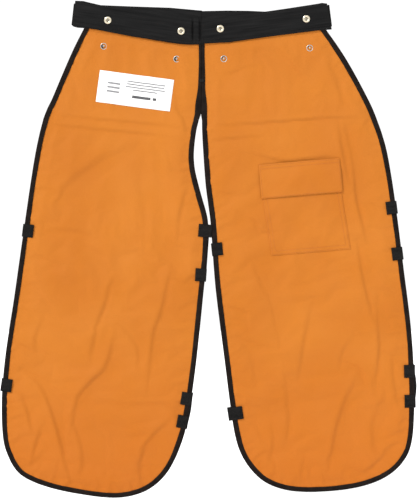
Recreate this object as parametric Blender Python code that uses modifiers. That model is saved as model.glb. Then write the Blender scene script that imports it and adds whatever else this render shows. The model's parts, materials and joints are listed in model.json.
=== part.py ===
"""Chainsaw chaps: two padded leg panels on a folding waistband, with a waist belt, leg straps and a pocket.

The wearer's right is at -X, the front faces -Y and +Z is up. The origin is on the centre seam, where the two
legs meet the waistband. Every size below is in millimetres, and the meshes are made in metres.
"""

import math

import bmesh
import bpy
import numpy as np
from mathutils import Matrix, Vector

MM = 0.001
GAP = 0.3

# Each leg's edge, (X, Z), from the waistband down the outer side, round the hem and up the inner side.
LEG_EDGES = {
    "right": [
        (-231, 37), (-263, -34), (-291, -100), (-307, -136), (-324, -209), (-344, -341), (-365, -489),
        (-380, -586), (-388, -670), (-387, -747), (-377, -790), (-352, -828), (-300, -852), (-230, -867),
        (-162, -873), (-107, -859), (-67, -824), (-40, -769), (-25, -710), (-10, -605), (4, -470),
        (12, -390), (12, -335), (2, -295), (-12.5, -239), (-15, -200), (-10, -158), (-3.5, -128),
        (-0.8, -63), (-0.5, 0),
    ],
    "left": [
        (245, 32), (284, -28), (320, -94), (339, -136), (359, -198), (376, -300), (393, -435),
        (406, -540), (412, -630), (412, -720), (402, -784), (366, -827), (310, -851), (237, -861),
        (168, -859), (117, -839), (82, -799), (65, -754), (55, -692), (44, -605), (27, -470),
        (20, -380), (16, -330), (8, -271), (3, -206), (0.5, -158), (0.3, -128), (0.6, -63), (0.5, 0),
    ],
}
INWARD = {"right": 1, "left": -1}  # which side of the edge's direction the cloth is on
EDGE_STEPS = 2

# The waistband folds forward along a line on each half: its height at X = 0 and its slope.
FOLD_LINES = {"right": (-2.0, -0.161), "left": (3.0, 0.119)}
FOLD_GAP = 2.0
FOLD_AXIS_Y = -5.0
BAND_TOPS = {
    "right": [(-0.5, 72), (-61, 77.5), (-135, 80), (-196, 82.5), (-230, 90.5), (-247, 91)],
    "left": [(0.5, 71), (49, 72), (91, 71.5), (123, 70), (165, 76), (236, 87), (247, 86)],
}
BAND_HALF = 3.0
BAND_END_LOW = {"right": (-247, 44), "left": (247, 36)}
SNAPS = {"right": [(-182, 53), (-40, 32)], "left": [(36, 36.7), (202.6, 55.7)]}

# Layers from front to back, as (front Y, back Y).
SHELL = (-0.4, 0.4)
YOKE_LINING = (0.7, 1.3)
PADS = [(0.7, 2.3), (2.6, 4.2), (4.5, 6.1)]
LEG_LINING = (6.4, 7.0)
BINDING_WALL = 0.8
BINDING_WIDTH = 10.0
SHELL_INSET = BINDING_WALL + 0.4
PAD_INSET = 14.0
PAD_TOP = -154.0

HIP_Z = -140.0
HIP_GAP = 2.0

WEB = 25.0  # the leg straps' webbing
WEB_THICK = 1.4
TAB_Y = SHELL[0] - GAP - BINDING_WALL - GAP - WEB_THICK / 2
WEB_Y = 10.5
LOOP_THICK = 1.7

# Each leg strap: the height of its single tab, the heights of the loop's two tabs, which side the single tab
# is on, and how far the loop stands out past the binding.
LEG_STRAPS = {
    "right_thigh": ("right", "outer", -353.6, (-355, -441), 0.0),
    "right_calf": ("right", "outer", -653, (-682, -726.5), 4.5),
    "left_thigh": ("left", "inner", -391.5, (-309, -398), 0.0),
    "left_calf": ("left", "inner", -710, (-627, -685), 4.5),
}
TAB_LENGTH = 21.0
STRAP_END = 74.0  # from the loop's edge to where the long strap stops

BELT = 38.0
BELT_THICK = 1.4
BELT_AXIS = {"right": (-252.0, 67.6), "left": (252.0, 61.7)}
BELT_SLOPE = {"right": math.radians(-7.4), "left": math.radians(6.2)}
BELT_HINGE_Y = 2.2
BELT_Y = 5.0
TAIL_LENGTH = 182.0

SOCKET_RADIUS = 7.25  # a snap's ring on the waistband
SOCKET_HOLE = 2.6

LABEL_CENTRE = (-129.5, -83.5)
LABEL_SIZE = (145.0, 62.0)
LABEL_TILT = math.radians(-7.6)

POCKET_CORNER = (110.0, -227.0)
POCKET_TILT = math.radians(4.9)
POCKET_WIDTH = 158.0
POCKET_DEPTH = 178.0
FLAP_DROP = 66.5
FLAP_KNEE = 18.0
FLAP_Y = (-1.3, -7.7)
BAG_FRONT = (-5.5, -4.9)

MATERIALS = {
    "orange_shell": ((0.78, 0.24, 0.035), 0.8, 0.0),
    "black_lining": ((0.02, 0.02, 0.022), 0.85, 0.0),
    "pad_fibre": ((0.75, 0.72, 0.6), 0.9, 0.0),
    "black_binding": ((0.022, 0.019, 0.017), 0.7, 0.0),
    "black_webbing": ((0.018, 0.018, 0.018), 0.75, 0.0),
    "white_label": ((0.86, 0.86, 0.85), 0.6, 0.0),
    "snap_brass": ((0.72, 0.62, 0.42), 0.35, 1.0),
    "snap_steel": ((0.62, 0.61, 0.58), 0.3, 1.0),
    "black_plastic": ((0.02, 0.02, 0.02), 0.45, 0.0),
    "touch_tape": ((0.6, 0.2, 0.04), 0.95, 0.0),
}


def clear_scene():
    for obj in list(bpy.data.objects):
        bpy.data.objects.remove(obj)


def collection(name, hidden=False):
    made = bpy.data.collections.new(name)
    made.hide_render = hidden
    bpy.context.scene.collection.children.link(made)
    return made


def new_material(name):
    made = bpy.data.materials.new(name)
    made.use_nodes = True
    shader = made.node_tree.nodes["Principled BSDF"]
    colour, roughness, metallic = MATERIALS[name.split(":")[0]]
    shader.inputs["Base Color"].default_value = (*colour, 1)
    shader.inputs["Roughness"].default_value = roughness
    shader.inputs["Metallic"].default_value = metallic
    return made


def add(name, data, material):
    """A sub-part in the object's collection, with its own material."""
    obj = bpy.data.objects.new(name, data)
    data.materials.append(new_material(f"{material}:{name}"))
    PARTS.objects.link(obj)
    return obj


def body(name, at):
    """An empty on a body's joint axis."""
    empty = bpy.data.objects.new(name + "_axis", None)
    empty.location = Vector(at) * MM
    PARTS.objects.link(empty)
    return empty


def hang(parent, *objects):
    """Parents the objects to the empty, each staying where it is."""
    bpy.context.view_layer.update()
    for obj in objects:
        obj.parent = parent
        obj.matrix_parent_inverse = parent.matrix_world.inverted()


def smooth_path(points, steps=EDGE_STEPS):
    """A Catmull-Rom curve through the points."""
    p = np.array(points, float)
    p = np.vstack([2 * p[0] - p[1], p, 2 * p[-1] - p[-2]])
    curve = []
    for a, b, c, d in zip(p, p[1:], p[2:], p[3:]):
        for t in np.arange(steps) / steps:
            cubic = (3 * b - a - 3 * c + d) * t**3
            curve.append(0.5 * (2 * b + (c - a) * t + (2 * a - 5 * b + 4 * c - d) * t**2 + cubic))
    return np.array([*curve, p[-2]])


def inset(path, distance, side, start_along, end_along):
    """The path moved inwards. Its ends slide along the given directions, so they stay on their cut lines."""
    step = np.gradient(path, axis=0)
    step /= np.linalg.norm(step, axis=1)[:, None]
    normal = INWARD[side] * np.stack([-step[:, 1], step[:, 0]], axis=1)
    moved = path + distance * normal
    for i, along in ((0, start_along), (-1, end_along)):
        along = np.array(along, float)
        moved[i] = path[i] + along * distance / (normal[i] @ along)
    return moved


def fold_z(side, x):
    level, slope = FOLD_LINES[side]
    return level + slope * x


def fold_direction(side):
    return np.array([1.0, FOLD_LINES[side][1]])


def edge_path(side):
    path = smooth_path(LEG_EDGES[side])
    for i in (0, -1):
        path[i, 1] = fold_z(side, path[i, 0]) - FOLD_GAP
    return path


def crossings(path, z):
    """Where the path passes the height z, in order, each as (index of the point after it, point)."""
    found = []
    for i in range(1, len(path)):
        a, b = path[i - 1], path[i]
        if (a[1] - z) * (b[1] - z) < 0:
            found.append((i, a + (b - a) * (z - a[1]) / (b[1] - a[1])))
    return found


def below(path, z):
    """The stretch of a leg's edge under the height z, with its ends at z."""
    (i, first), (j, last) = crossings(path, z)
    return np.vstack([first, path[i:j], last])


def above(path, z):
    """The two stretches of a leg's edge over the height z: outer side and inner side."""
    (i, first), (j, last) = crossings(path, z)
    return np.vstack([path[:i], first]), np.vstack([last, path[j:]])


def plate(name, outline, layer, material):
    """A flat outline in (X, Z) with the thickness of a layer."""
    data = bpy.data.curves.new(name, "CURVE")
    data.dimensions = "2D"
    data.fill_mode = "BOTH"
    data.extrude = (layer[1] - layer[0]) / 2 * MM
    for loop in outline if isinstance(outline, list) else [outline]:
        spline = data.splines.new("POLY")
        spline.points.add(len(loop) - 1)
        for point, (x, z) in zip(spline.points, loop):
            point.co = (x * MM, z * MM, 0, 1)
        spline.use_cyclic_u = True
    obj = add(name, data, material)
    obj.rotation_euler.x = math.pi / 2
    obj.location.y = (layer[0] + layer[1]) / 2 * MM
    return obj


def folded_sheet(name, rails, thickness, material):
    """A sheet that runs from rail to rail, with a thickness given to it on both sides."""
    rows = [np.asarray(rail, float) for rail in rails]
    count = len(rows[0])
    mesh = bpy.data.meshes.new(name)
    faces = []
    for r in range(len(rows) - 1):
        for i in range(count - 1):
            a = r * count + i
            faces.append((a, a + 1, a + count + 1, a + count))
    mesh.from_pydata([tuple(p * MM) for row in rows for p in row], [], faces)
    obj = add(name, mesh, material)
    solid = obj.modifiers.new("thickness", "SOLIDIFY")
    solid.thickness = thickness * MM
    solid.offset = 0
    solid.use_even_offset = True
    return obj


def at_depth(path, y):
    return np.stack([path[:, 0], np.full(len(path), y), path[:, 1]], axis=1)


def placed(points, origin, angle):
    """Points (u, y, w) of a strap's own frame in the object's: u runs along the angle, w is square to it."""
    p = np.asarray(points, float)
    u, y, w = p[..., 0], p[..., 1], p[..., 2]
    x = origin[0] + u * math.cos(angle) - w * math.sin(angle)
    z = origin[1] + u * math.sin(angle) + w * math.cos(angle)
    return np.stack([x, y, z], axis=-1)


def rectangle(low, high):
    return np.array([(low[0], low[1]), (high[0], low[1]), (high[0], high[1]), (low[0], high[1])], float)


def tilted(outline, origin, angle):
    points = placed([(u, 0, w) for u, w in outline], origin, angle)
    return points[:, [0, 2]]


def ribbon(name, route, width, thickness, origin, angle, material="black_webbing"):
    """Webbing along a route of (u, y) points, the given width across."""
    rails = [placed([(u, y, w) for u, y in route], origin, angle) for w in (-width / 2, width / 2)]
    return folded_sheet(name, rails, thickness, material)


def block(name, low, high, origin, angle, bevel=0.0):
    """A box from corner to corner in a strap's frame (u, y, w), with rounded edges if asked."""
    mesh = bpy.data.meshes.new(name)
    shape = bmesh.new()
    bmesh.ops.create_cube(shape, size=1)
    low, high = Vector(low), Vector(high)
    bmesh.ops.scale(shape, vec=(high - low) * MM, verts=shape.verts)
    bmesh.ops.translate(shape, vec=(low + high) / 2 * MM, verts=shape.verts)
    shape.to_mesh(mesh)
    shape.free()
    turn = Matrix.Rotation(-angle, 4, "Y")
    turn.translation = Vector((origin[0], 0, origin[1])) * MM
    obj = bpy.data.objects.new(name, mesh)
    obj.matrix_world = turn
    if bevel:
        edge = obj.modifiers.new("rounded", "BEVEL")
        edge.width = bevel * MM
        edge.segments = 2
    return obj


def as_part(obj, material):
    obj.data.materials.append(new_material(f"{material}:{obj.name}"))
    PARTS.objects.link(obj)
    return obj


def combine(target, others, operation):
    """Cuts the other objects from the target, or joins them to it."""
    for other in others:
        if other.name not in CUTTERS.objects:
            CUTTERS.objects.link(other)
        other.hide_render = True
        other.display_type = "WIRE"
        step = target.modifiers.new(other.name, "BOOLEAN")
        step.operation = operation
        step.object = other
    return target


def as_cutter(obj):
    """Moves a sub-part to the cutters, for another piece to be joined with."""
    PARTS.objects.unlink(obj)
    return obj


def mesh_copy(obj):
    """A curve object made a mesh object of the same name, so that Booleans can use it."""
    bpy.context.view_layer.update()
    data = bpy.data.meshes.new_from_object(obj.evaluated_get(bpy.context.evaluated_depsgraph_get()))
    shape = bmesh.new()
    shape.from_mesh(data)
    bmesh.ops.remove_doubles(shape, verts=shape.verts, dist=1e-6)
    bmesh.ops.recalc_face_normals(shape, faces=shape.faces)
    shape.to_mesh(data)
    shape.free()
    name, matrix = obj.name, obj.matrix_world.copy()
    bpy.data.objects.remove(obj)
    made = bpy.data.objects.new(name, data)
    made.matrix_world = matrix
    PARTS.objects.link(made)
    return made


def binding(name, path, side, ends, back_y):
    """Edge tape folded round the layers: front wall, edge and back wall, along a stretch of a leg's edge."""
    half = BINDING_WALL / 2
    front_y = SHELL[0] - GAP - half
    inner = inset(path, BINDING_WIDTH, side, *ends)
    outer = inset(path, half, side, *ends)
    rails = [
        at_depth(inner, front_y), at_depth(outer, front_y), at_depth(outer, back_y), at_depth(inner, back_y)
    ]
    return folded_sheet(name, rails, BINDING_WALL, "black_binding")


def yoke_half(side):
    """The top of one leg, above the hip line: shell, lining and the binding down both edges."""
    outer, inner = above(edge_path(side), HIP_Z + HIP_GAP)
    fold, level = fold_direction(side), (1, 0)
    outer_ends, inner_ends = (fold, level), (level, fold)
    panel = np.vstack([
        inset(outer, SHELL_INSET, side, *outer_ends),
        inset(inner, SHELL_INSET, side, *inner_ends),
    ])
    back_y = YOKE_LINING[1] + GAP + BINDING_WALL / 2
    return [
        plate(f"{side}_yoke_shell", panel, SHELL, "orange_shell"),
        plate(f"{side}_yoke_lining", panel, YOKE_LINING, "black_lining"),
        binding(f"{side}_yoke_side_binding", outer, side, outer_ends, back_y),
        binding(f"{side}_crotch_binding", inner, side, inner_ends, back_y),
    ]


def leg_panel(side):
    """One leg below the hip line: shell, pads, lining and the binding right round the hem."""
    level = ((1, 0), (1, 0))
    path = below(edge_path(side), HIP_Z - HIP_GAP)
    panel = inset(path, SHELL_INSET, side, *level)
    pad = below(inset(edge_path(side), PAD_INSET, side, *level), PAD_TOP)
    back_y = LEG_LINING[1] + GAP + BINDING_WALL / 2
    parts = [
        plate(f"{side}_leg_shell", panel, SHELL, "orange_shell"),
        plate(f"{side}_leg_lining", panel, LEG_LINING, "black_lining"),
        binding(f"{side}_leg_binding", path, side, level, back_y),
    ]
    for number, layer in enumerate(PADS, 1):
        parts.append(plate(f"{side}_leg_pad_{number}", pad, layer, "pad_fibre"))
    return parts


def edge_point(side, edge, z):
    """A point of a leg's outer or inner edge at the height z."""
    first, last = crossings(edge_path(side), z)
    return (first if edge == "outer" else last)[1]


def wrap_clearance(side, origin, angle, edge_width):
    """How far the binding reaches out past the origin, across the webbing's width."""
    path = smooth_path(LEG_EDGES[side], 12)
    local = path - np.array(origin)
    u = local[:, 0] * math.cos(angle) + local[:, 1] * math.sin(angle)
    w = local[:, 1] * math.cos(angle) - local[:, 0] * math.sin(angle)
    near = (abs(w) < edge_width / 2 + 1) & (abs(u) < 2 * edge_width)
    return -u[near].min()


def wrap_route(side, origin, angle, run):
    """The webbing's route: its tab on the front, round the edge, and a run behind the leg."""
    edge = -(wrap_clearance(side, origin, angle, WEB) + GAP + WEB_THICK / 2)
    return [(edge + TAB_LENGTH, TAB_Y), (edge, TAB_Y), (edge, WEB_Y), (run, WEB_Y)]


def female_buckle(name, origin, angle, width, length, y_low, y_high):
    """The socket half: open at -u for the prongs, side windows, and a bar for its webbing at +u."""
    half = width / 2 + 4.0
    middle = (y_low + y_high) / 2
    bar_end = length + 12.0
    wall = 1.5
    housing = block(name, (0, y_low, -half), (length, y_high, half), origin, angle, bevel=1.2)
    socket_half = half - wall - 0.8
    tongue = block(
        name + "_frame", (length - 3, middle - 1.5, -half), (bar_end, middle + 1.5, half), origin, angle
    )
    socket = block(
        name + "_socket", (-2, middle - 2.3, -socket_half), (length - wall, middle + 2.3, socket_half),
        origin, angle,
    )
    window = block(
        name + "_windows", (9, middle - 2.3, -half - 2), (19, middle + 2.3, half + 2), origin, angle
    )
    slot = block(
        name + "_slot", (length + 1.5, y_low, -width / 2 - 1), (bar_end - 4, y_high, width / 2 + 1),
        origin, angle,
    )
    as_part(housing, "black_plastic")
    combine(housing, [tongue], "UNION")
    return combine(housing, [socket, window, slot], "DIFFERENCE")


def male_buckle(name, origin, angle, width, length, middle_y):
    """The prong half: its plate lies at -u, outside the socket, and its prongs reach into it."""
    half = width / 2 + 4.0
    prong, reach, tip = 5.0, 20.0, half - 3.4
    side_profile = [
        (-length, -half), (-1, -half), (-1, -tip), (reach - 8, -tip), (reach, -tip + prong),
        (reach - 6, -tip + prong), (0, -tip + prong),
    ]
    guide = [(0, -2), (reach - 4, -2), (reach - 4, 2), (0, 2)]
    outline = side_profile + guide + [(u, -w) for u, w in reversed(side_profile)]
    slots = [
        rectangle((start, -width / 2 - 1), (start + 4, width / 2 + 1))
        for start in (-length + 4, -length + 12)
    ]
    loops = [tilted(outline, origin, angle)] + [tilted(slot, origin, angle) for slot in slots]
    return plate(name, loops, (middle_y - 1.6, middle_y + 1.6), "black_plastic")


def leg_strap(name):
    """A strap level behind a leg: long strap, webbing loop, and the two halves of its buckle."""
    side, single, strap_z, loop_zs, stand_out = LEG_STRAPS[name]
    pair = "inner" if single == "outer" else "outer"
    anchor = edge_point(side, single, strap_z)
    goal = edge_point(side, pair, sum(loop_zs) / 2)
    heading = goal - anchor
    span = float(np.linalg.norm(heading))
    angle = math.atan2(heading[1], heading[0])
    route = wrap_route(side, anchor, angle, span - STRAP_END)
    strap = ribbon(f"{name}_strap", route, WEB, WEB_THICK, anchor, angle)

    top, low = (edge_point(side, pair, z) for z in loop_zs)
    along = top - low
    back = math.atan2(along[1], along[0]) + (math.pi / 2 if pair == "inner" else -math.pi / 2)
    edge_angle = back if math.cos(back) * heading[0] < 0 else back + math.pi
    rail_length = float(np.linalg.norm(along)) + WEB
    loop = block(
        f"{name}_loop", (-stand_out, WEB_Y - LOOP_THICK / 2, -rail_length / 2),
        (WEB - stand_out, WEB_Y + LOOP_THICK / 2, rail_length / 2), (top + low) / 2, edge_angle,
    )
    as_part(loop, "black_webbing")
    tabs = []
    for i, point in enumerate((top, low), 1):
        tab_route = wrap_route(side, point, edge_angle, WEB - 4)
        tabs.append(as_cutter(ribbon(f"{name}_loop_tab_{i}", tab_route, WEB, WEB_THICK, point, edge_angle)))
    bar = 36.0  # from the loop's edge to the bar of the female half
    middle = WEB_Y + LOOP_THICK / 2 + 2.6
    around = [
        (10, WEB_Y), (bar + 5, WEB_Y), (bar + 5, 2 * middle - WEB_Y), (28, 2 * middle - WEB_Y),
    ]
    tether = as_cutter(ribbon(f"{name}_tether", around, WEB - 1, WEB_THICK, goal, angle + math.pi))
    combine(loop, [*tabs, tether], "UNION")

    length = 24.0
    mouth = goal - heading / span * (bar - 4 + 12 + length)
    female = female_buckle(f"{name}_buckle_female", mouth, angle, WEB, length, middle - 4.4, middle + 4.4)
    male = male_buckle(f"{name}_buckle_male", mouth, angle, WEB, 24.0, middle)
    hang(body(f"{name}_release", (mouth[0], middle, mouth[1])), male)
    return [strap, loop, female]


def snap_socket(name, x, z):
    """A ring on the waistband's front, with the hole that its stud enters."""
    front = -BAND_HALF - GAP
    turned = np.arange(20) * math.tau / 20
    circle = np.stack([np.cos(turned), np.sin(turned)], axis=1)
    loops = [circle * SOCKET_RADIUS + (x, z), circle * SOCKET_HOLE + (x, z)]
    return plate(name, loops, (front - 3.0, front), "snap_brass")


def snap_stud(name, x, z):
    """A flange with a post, on the leg's front."""
    front = SHELL[0] - GAP
    profile = [(0, 0), (5.5, 0), (5.5, 1.1), (2.9, 1.7), (2.0, 1.9), (2.0, 4.2), (1.3, 4.6), (0, 4.6)]
    mesh = bpy.data.meshes.new(name)
    points = [(r * MM, 0, h * MM) for r, h in reversed(profile)]
    mesh.from_pydata(points, [(i, i + 1) for i in range(len(points) - 1)], [])
    obj = add(name, mesh, "snap_steel")
    turn = obj.modifiers.new("turned", "SCREW")
    turn.steps = turn.render_steps = 20
    turn.use_merge_vertices = True
    turn.merge_threshold = 1e-5
    obj.rotation_euler.x = math.pi / 2
    obj.location = Vector((x, front, z)) * MM
    return obj


def mirrored_over_fold(side, point):
    """Where a point of the waistband's front lands when the band is folded down."""
    along = fold_direction(side)
    along = along / np.linalg.norm(along)
    origin = np.array([0, FOLD_LINES[side][0]])
    arm = np.array(point) - origin
    return origin + 2 * (arm @ along) * along - arm


def belt_frame(side):
    """The belt's own frame: u runs from the band's outer end towards the centre."""
    return BELT_AXIS[side], BELT_SLOPE[side] + (math.pi if side == "left" else 0)


def waistband(side):
    """One half of the waistband: a flat tube that the belt runs through."""
    low_x, low_z = BAND_END_LOW[side]
    top = np.array(BAND_TOPS[side], float)
    near_x = top[0, 0]
    knee_x = LEG_EDGES[side][0][0]
    lower = [(low_x, low_z)] + [(x, fold_z(side, x) + FOLD_GAP) for x in (knee_x, near_x)]
    origin, angle = belt_frame(side)
    outline = np.vstack([top, lower])
    band = mesh_copy(plate(f"{side}_waistband", outline, (-BAND_HALF, BAND_HALF), "black_webbing"))
    room_y, room_w = BELT_THICK / 2 + 0.4, BELT / 2 + 0.8
    tunnel = block(f"{side}_tunnel", (-10, -room_y, -room_w), (232, room_y, room_w), origin, angle)
    combine(band, [tunnel], "DIFFERENCE")
    run = ribbon(f"{side}_belt_run", [(5, 0), (229, 0)], BELT, BELT_THICK, origin, angle)
    sockets = [
        snap_socket(f"{side}_snap_socket_{i}", x, z) for i, (x, z) in enumerate(SNAPS[side], 1)
    ]
    tail = ribbon(
        f"{side}_belt_tail", [(0, 0.9), (0, BELT_Y), (TAIL_LENGTH, BELT_Y)], BELT, BELT_THICK, origin, angle
    )
    return band, run, sockets, tail


def centre_tuck():
    """The pinched double ridge at the middle of the waistband."""
    ridge, valley = -BAND_HALF - 2.3, -BAND_HALF - 0.9
    columns = [(-18.5, valley), (-15, ridge), (-11.5, valley), (-8, ridge), (-4.5, valley)]
    rails = [[(x, y, 13), (x, y, 54)] for x, y in columns]
    return folded_sheet("centre_tuck", rails, 0.8, "black_webbing")


def waist_buckle():
    """The belt's side-release buckle: the socket half on the right tail, the prong half on the left tail."""
    middle = BELT_Y + BELT_THICK / 2 + GAP + 5.6
    origin, angle = belt_frame("right")
    length = 32.0
    mouth = placed([(TAIL_LENGTH + 46, 0, 0)], origin, angle)[0]
    female = female_buckle(
        "waist_buckle_female", (mouth[0], mouth[2]), angle + math.pi, BELT, length, middle - 5.2, middle + 5.2
    )
    origin, angle = belt_frame("left")
    root = placed([(TAIL_LENGTH - 2, 0, 0)], origin, angle)[0]
    male = male_buckle("waist_buckle_male", (root[0], root[2]), angle, BELT, 34.0, middle - 3.0)
    hang(body("waist_buckle_adjust", (root[0], middle, root[2])), male)
    return female


def pocket():
    """The cargo pocket on the left leg: bag, flap, and the touch fastener between them."""
    bag = block(
        "pocket_bag", (2, BAG_FRONT[0], -POCKET_DEPTH), (POCKET_WIDTH - 2, SHELL[0] - GAP, -FLAP_KNEE - 4),
        POCKET_CORNER, POCKET_TILT,
    )
    hollow = block(
        "pocket_hollow", (3, BAG_FRONT[1], -POCKET_DEPTH + 1), (POCKET_WIDTH - 3, 5, 0),
        POCKET_CORNER, POCKET_TILT,
    )
    as_part(bag, "orange_shell")
    combine(bag, [hollow], "DIFFERENCE")
    drops = [(0, FLAP_Y[0]), (FLAP_KNEE, FLAP_Y[1]), (FLAP_DROP, FLAP_Y[1])]
    rails = [
        placed([(0, y, -drop), (POCKET_WIDTH, y, -drop)], POCKET_CORNER, POCKET_TILT) for drop, y in drops
    ]
    flap = folded_sheet("pocket_flap", rails, 1.0, "orange_shell")
    strip = tilted(rectangle((15, -60), (POCKET_WIDTH - 15, -40)), POCKET_CORNER, POCKET_TILT)
    hook = plate("flap_hook_tape", strip, (FLAP_Y[1] + 0.8, FLAP_Y[1] + 1.1), "touch_tape")
    loop = plate("pocket_loop_tape", strip, (BAG_FRONT[0] - 0.8, BAG_FRONT[0] - 0.3), "touch_tape")
    hang(body("pocket_flap_hinge", (POCKET_CORNER[0], FLAP_Y[0], POCKET_CORNER[1])), flap, hook)
    return [bag, loop]


def trims():
    """The label, and the bar tack that ends the strip where the two bindings are sewn together."""
    width, height = LABEL_SIZE
    label = tilted(rectangle((-width / 2, -height / 2), (width / 2, height / 2)), LABEL_CENTRE, LABEL_TILT)
    plate("label", label, (SHELL[0] - GAP - 0.5, SHELL[0] - GAP), "white_label")
    tack_y = SHELL[0] - GAP - BINDING_WALL - GAP
    plate("crotch_bar_tack", rectangle((-6, -66), (6, -61)), (tack_y - 0.6, tack_y), "black_binding")


def build():
    for side in ("right", "left"):
        yoke_half(side)
        leg = leg_panel(side)
        for name in LEG_STRAPS:
            if name.startswith(side):
                leg += leg_strap(name)
        if side == "left":
            leg += pocket()
        for i, point in enumerate(SNAPS[side], 1):
            snap_stud(f"{side}_snap_stud_{i}", *mirrored_over_fold(side, point))
        hang(body(f"{side}_leg", (0, 0, HIP_Z)), *leg)

        band, run, sockets, tail = waistband(side)
        folding = [band, run, *sockets]
        if side == "right":
            folding.append(centre_tuck())
        hang(body(f"{side}_waistband_fold", (0, FOLD_AXIS_Y, FOLD_LINES[side][0])), *folding)
        end_x, end_z = BELT_AXIS[side]
        hang(body(f"{side}_belt", (end_x, BELT_HINGE_Y, end_z)), tail)
    waist_buckle()
    trims()


clear_scene()
PARTS = collection("chainsaw_chaps")
CUTTERS = collection("cutters", hidden=True)
build()
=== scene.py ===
"""The looks of the chainsaw chaps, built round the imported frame.

Lengths in this script are millimetres and angles degrees, unless a name says otherwise. A point is (X, Y, Z), and a
flat point is (X, Z). Meshes are made in metres. The front of the chaps faces -Y.
"""

import json
import math
from collections import defaultdict

import bmesh
import bpy
import numpy as np
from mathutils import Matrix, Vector, kdtree, noise
from mathutils.geometry import delaunay_2d_cdt

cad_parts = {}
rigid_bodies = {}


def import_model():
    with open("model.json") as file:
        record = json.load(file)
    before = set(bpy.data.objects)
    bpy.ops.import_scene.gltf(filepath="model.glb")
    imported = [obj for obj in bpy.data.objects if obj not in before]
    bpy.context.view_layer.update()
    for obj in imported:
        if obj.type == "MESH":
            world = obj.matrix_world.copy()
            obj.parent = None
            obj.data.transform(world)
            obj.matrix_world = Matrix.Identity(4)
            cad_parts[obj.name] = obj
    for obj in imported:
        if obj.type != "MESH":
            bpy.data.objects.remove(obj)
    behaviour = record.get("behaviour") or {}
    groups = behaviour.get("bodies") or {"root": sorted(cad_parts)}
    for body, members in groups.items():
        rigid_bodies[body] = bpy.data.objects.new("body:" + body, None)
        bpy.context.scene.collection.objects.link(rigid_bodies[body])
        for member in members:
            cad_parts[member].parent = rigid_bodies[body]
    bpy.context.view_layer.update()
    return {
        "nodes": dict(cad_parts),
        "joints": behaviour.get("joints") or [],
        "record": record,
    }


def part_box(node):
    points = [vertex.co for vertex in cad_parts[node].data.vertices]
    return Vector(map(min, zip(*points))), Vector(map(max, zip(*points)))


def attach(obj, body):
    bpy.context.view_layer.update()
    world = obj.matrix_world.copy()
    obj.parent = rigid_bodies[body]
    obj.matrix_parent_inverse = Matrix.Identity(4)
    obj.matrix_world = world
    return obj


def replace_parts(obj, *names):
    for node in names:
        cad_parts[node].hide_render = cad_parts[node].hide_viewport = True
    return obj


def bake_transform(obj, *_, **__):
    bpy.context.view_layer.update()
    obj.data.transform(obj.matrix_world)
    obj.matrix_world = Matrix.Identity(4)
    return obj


for leftover in list(bpy.data.objects):
    bpy.data.objects.remove(leftover)

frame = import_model()
RECORD = frame["record"]
JOINTS = {joint["name"]: joint for joint in frame["joints"]}
MM = 0.001
SIDES = ("right", "left")
CENTRE_SIGN = {"right": 1, "left": -1}  # which way along X each leg's centre lies


# ---------------------------------------------------------------- what the frame says

def cad_points(node):
    """A CAD node's vertices in millimetres."""
    return np.array([v.co for v in frame["nodes"][node].data.vertices], float) / MM


def cad_box(node):
    low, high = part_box(node)
    return np.array(low) / MM, np.array(high) / MM


def cad_outline(node):
    """The outline of a flat CAD plate's front, in order, as flat points."""
    mesh = frame["nodes"][node].data
    points = cad_points(node)
    front = points[:, 1].min()
    keys = [tuple(np.round(p[[0, 2]], 3)) for p in points]
    edges = set()
    for polygon in mesh.polygons:
        corners = list(polygon.vertices)
        if all(abs(points[v][1] - front) < 0.01 for v in corners):
            edges.update((keys[a], keys[b]) for a, b in zip(corners, corners[1:] + corners[:1]))
    following = {a: b for a, b in edges if (b, a) not in edges}
    start = next(iter(sorted(following)))
    loop = [start]
    while following[loop[-1]] != start:
        loop.append(following[loop[-1]])
    return np.array(loop)


def rolled(loop, start, towards):
    """The loop starting at one index, going first towards the other."""
    n = len(loop)
    if (start + 1) % n == towards:
        loop, start = loop[::-1], n - 1 - start
    return np.roll(loop, -start, axis=0)


def fold_line(side):
    """The height at X = 0 and the slope of the line along which the waistband folds."""
    joint = JOINTS[f"{side}_waistband_fold"]
    slope = joint["axis"][2] / joint["axis"][0]
    return joint["pos_m"][2] / MM - slope * joint["pos_m"][0] / MM, slope


def leg_edge(side):
    """The cut edge of a leg's cloth, from the waistband down the outer side, round the hem and up to the band."""
    leg = cad_outline(f"{side}_leg_shell")
    top = np.argsort(leg[:, 1])[-2:]
    outer, inner = sorted(top, key=lambda i: leg[i, 0] * CENTRE_SIGN[side])
    leg = rolled(leg, outer, inner)
    yoke = cad_outline(f"{side}_yoke_shell")
    low = np.argsort(yoke[:, 1])[:2]
    outer, inner = sorted(low, key=lambda i: yoke[i, 0] * CENTRE_SIGN[side])
    yoke = rolled(yoke, inner, outer)
    gaps = np.linalg.norm(np.diff(yoke, axis=0), axis=1)
    cut = int(np.argmax(gaps)) + 1
    edge = np.vstack([yoke[cut:], leg, yoke[:cut]])
    level, slope = fold_line(side)
    for end, near in ((0, 1), (-1, -2)):
        step = (edge[end] - edge[near]) / np.linalg.norm(edge[end] - edge[near])
        short = level + 0.2 + slope * edge[end][0] - edge[end][1]
        edge[end] = edge[end] + step * short / (step[1] - slope * step[0])
    return edge


# How far the waistband's lower edge lies above the fold line: (X, height).
LIPS = {
    "right": [(-240, 4.5), (-206, 4.4), (-137, 2.3), (-68, 1.9), (-45, 2.3), (-26, 3.8), (-5, 7.6), (0, 8.0)],
    "left": [(0, 4.8), (7, 4.4), (53, 1.3), (136, 3.2), (227, 3.8), (245, 3.8)],
}
BAND_ENDS = {"right": [(-250.5, 42.3), (-241, 39.4)], "left": [(252.0, 36.1), (246, 35.6)]}
BAND_END_TOP = {"right": -245.3, "left": 242.6}


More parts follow.
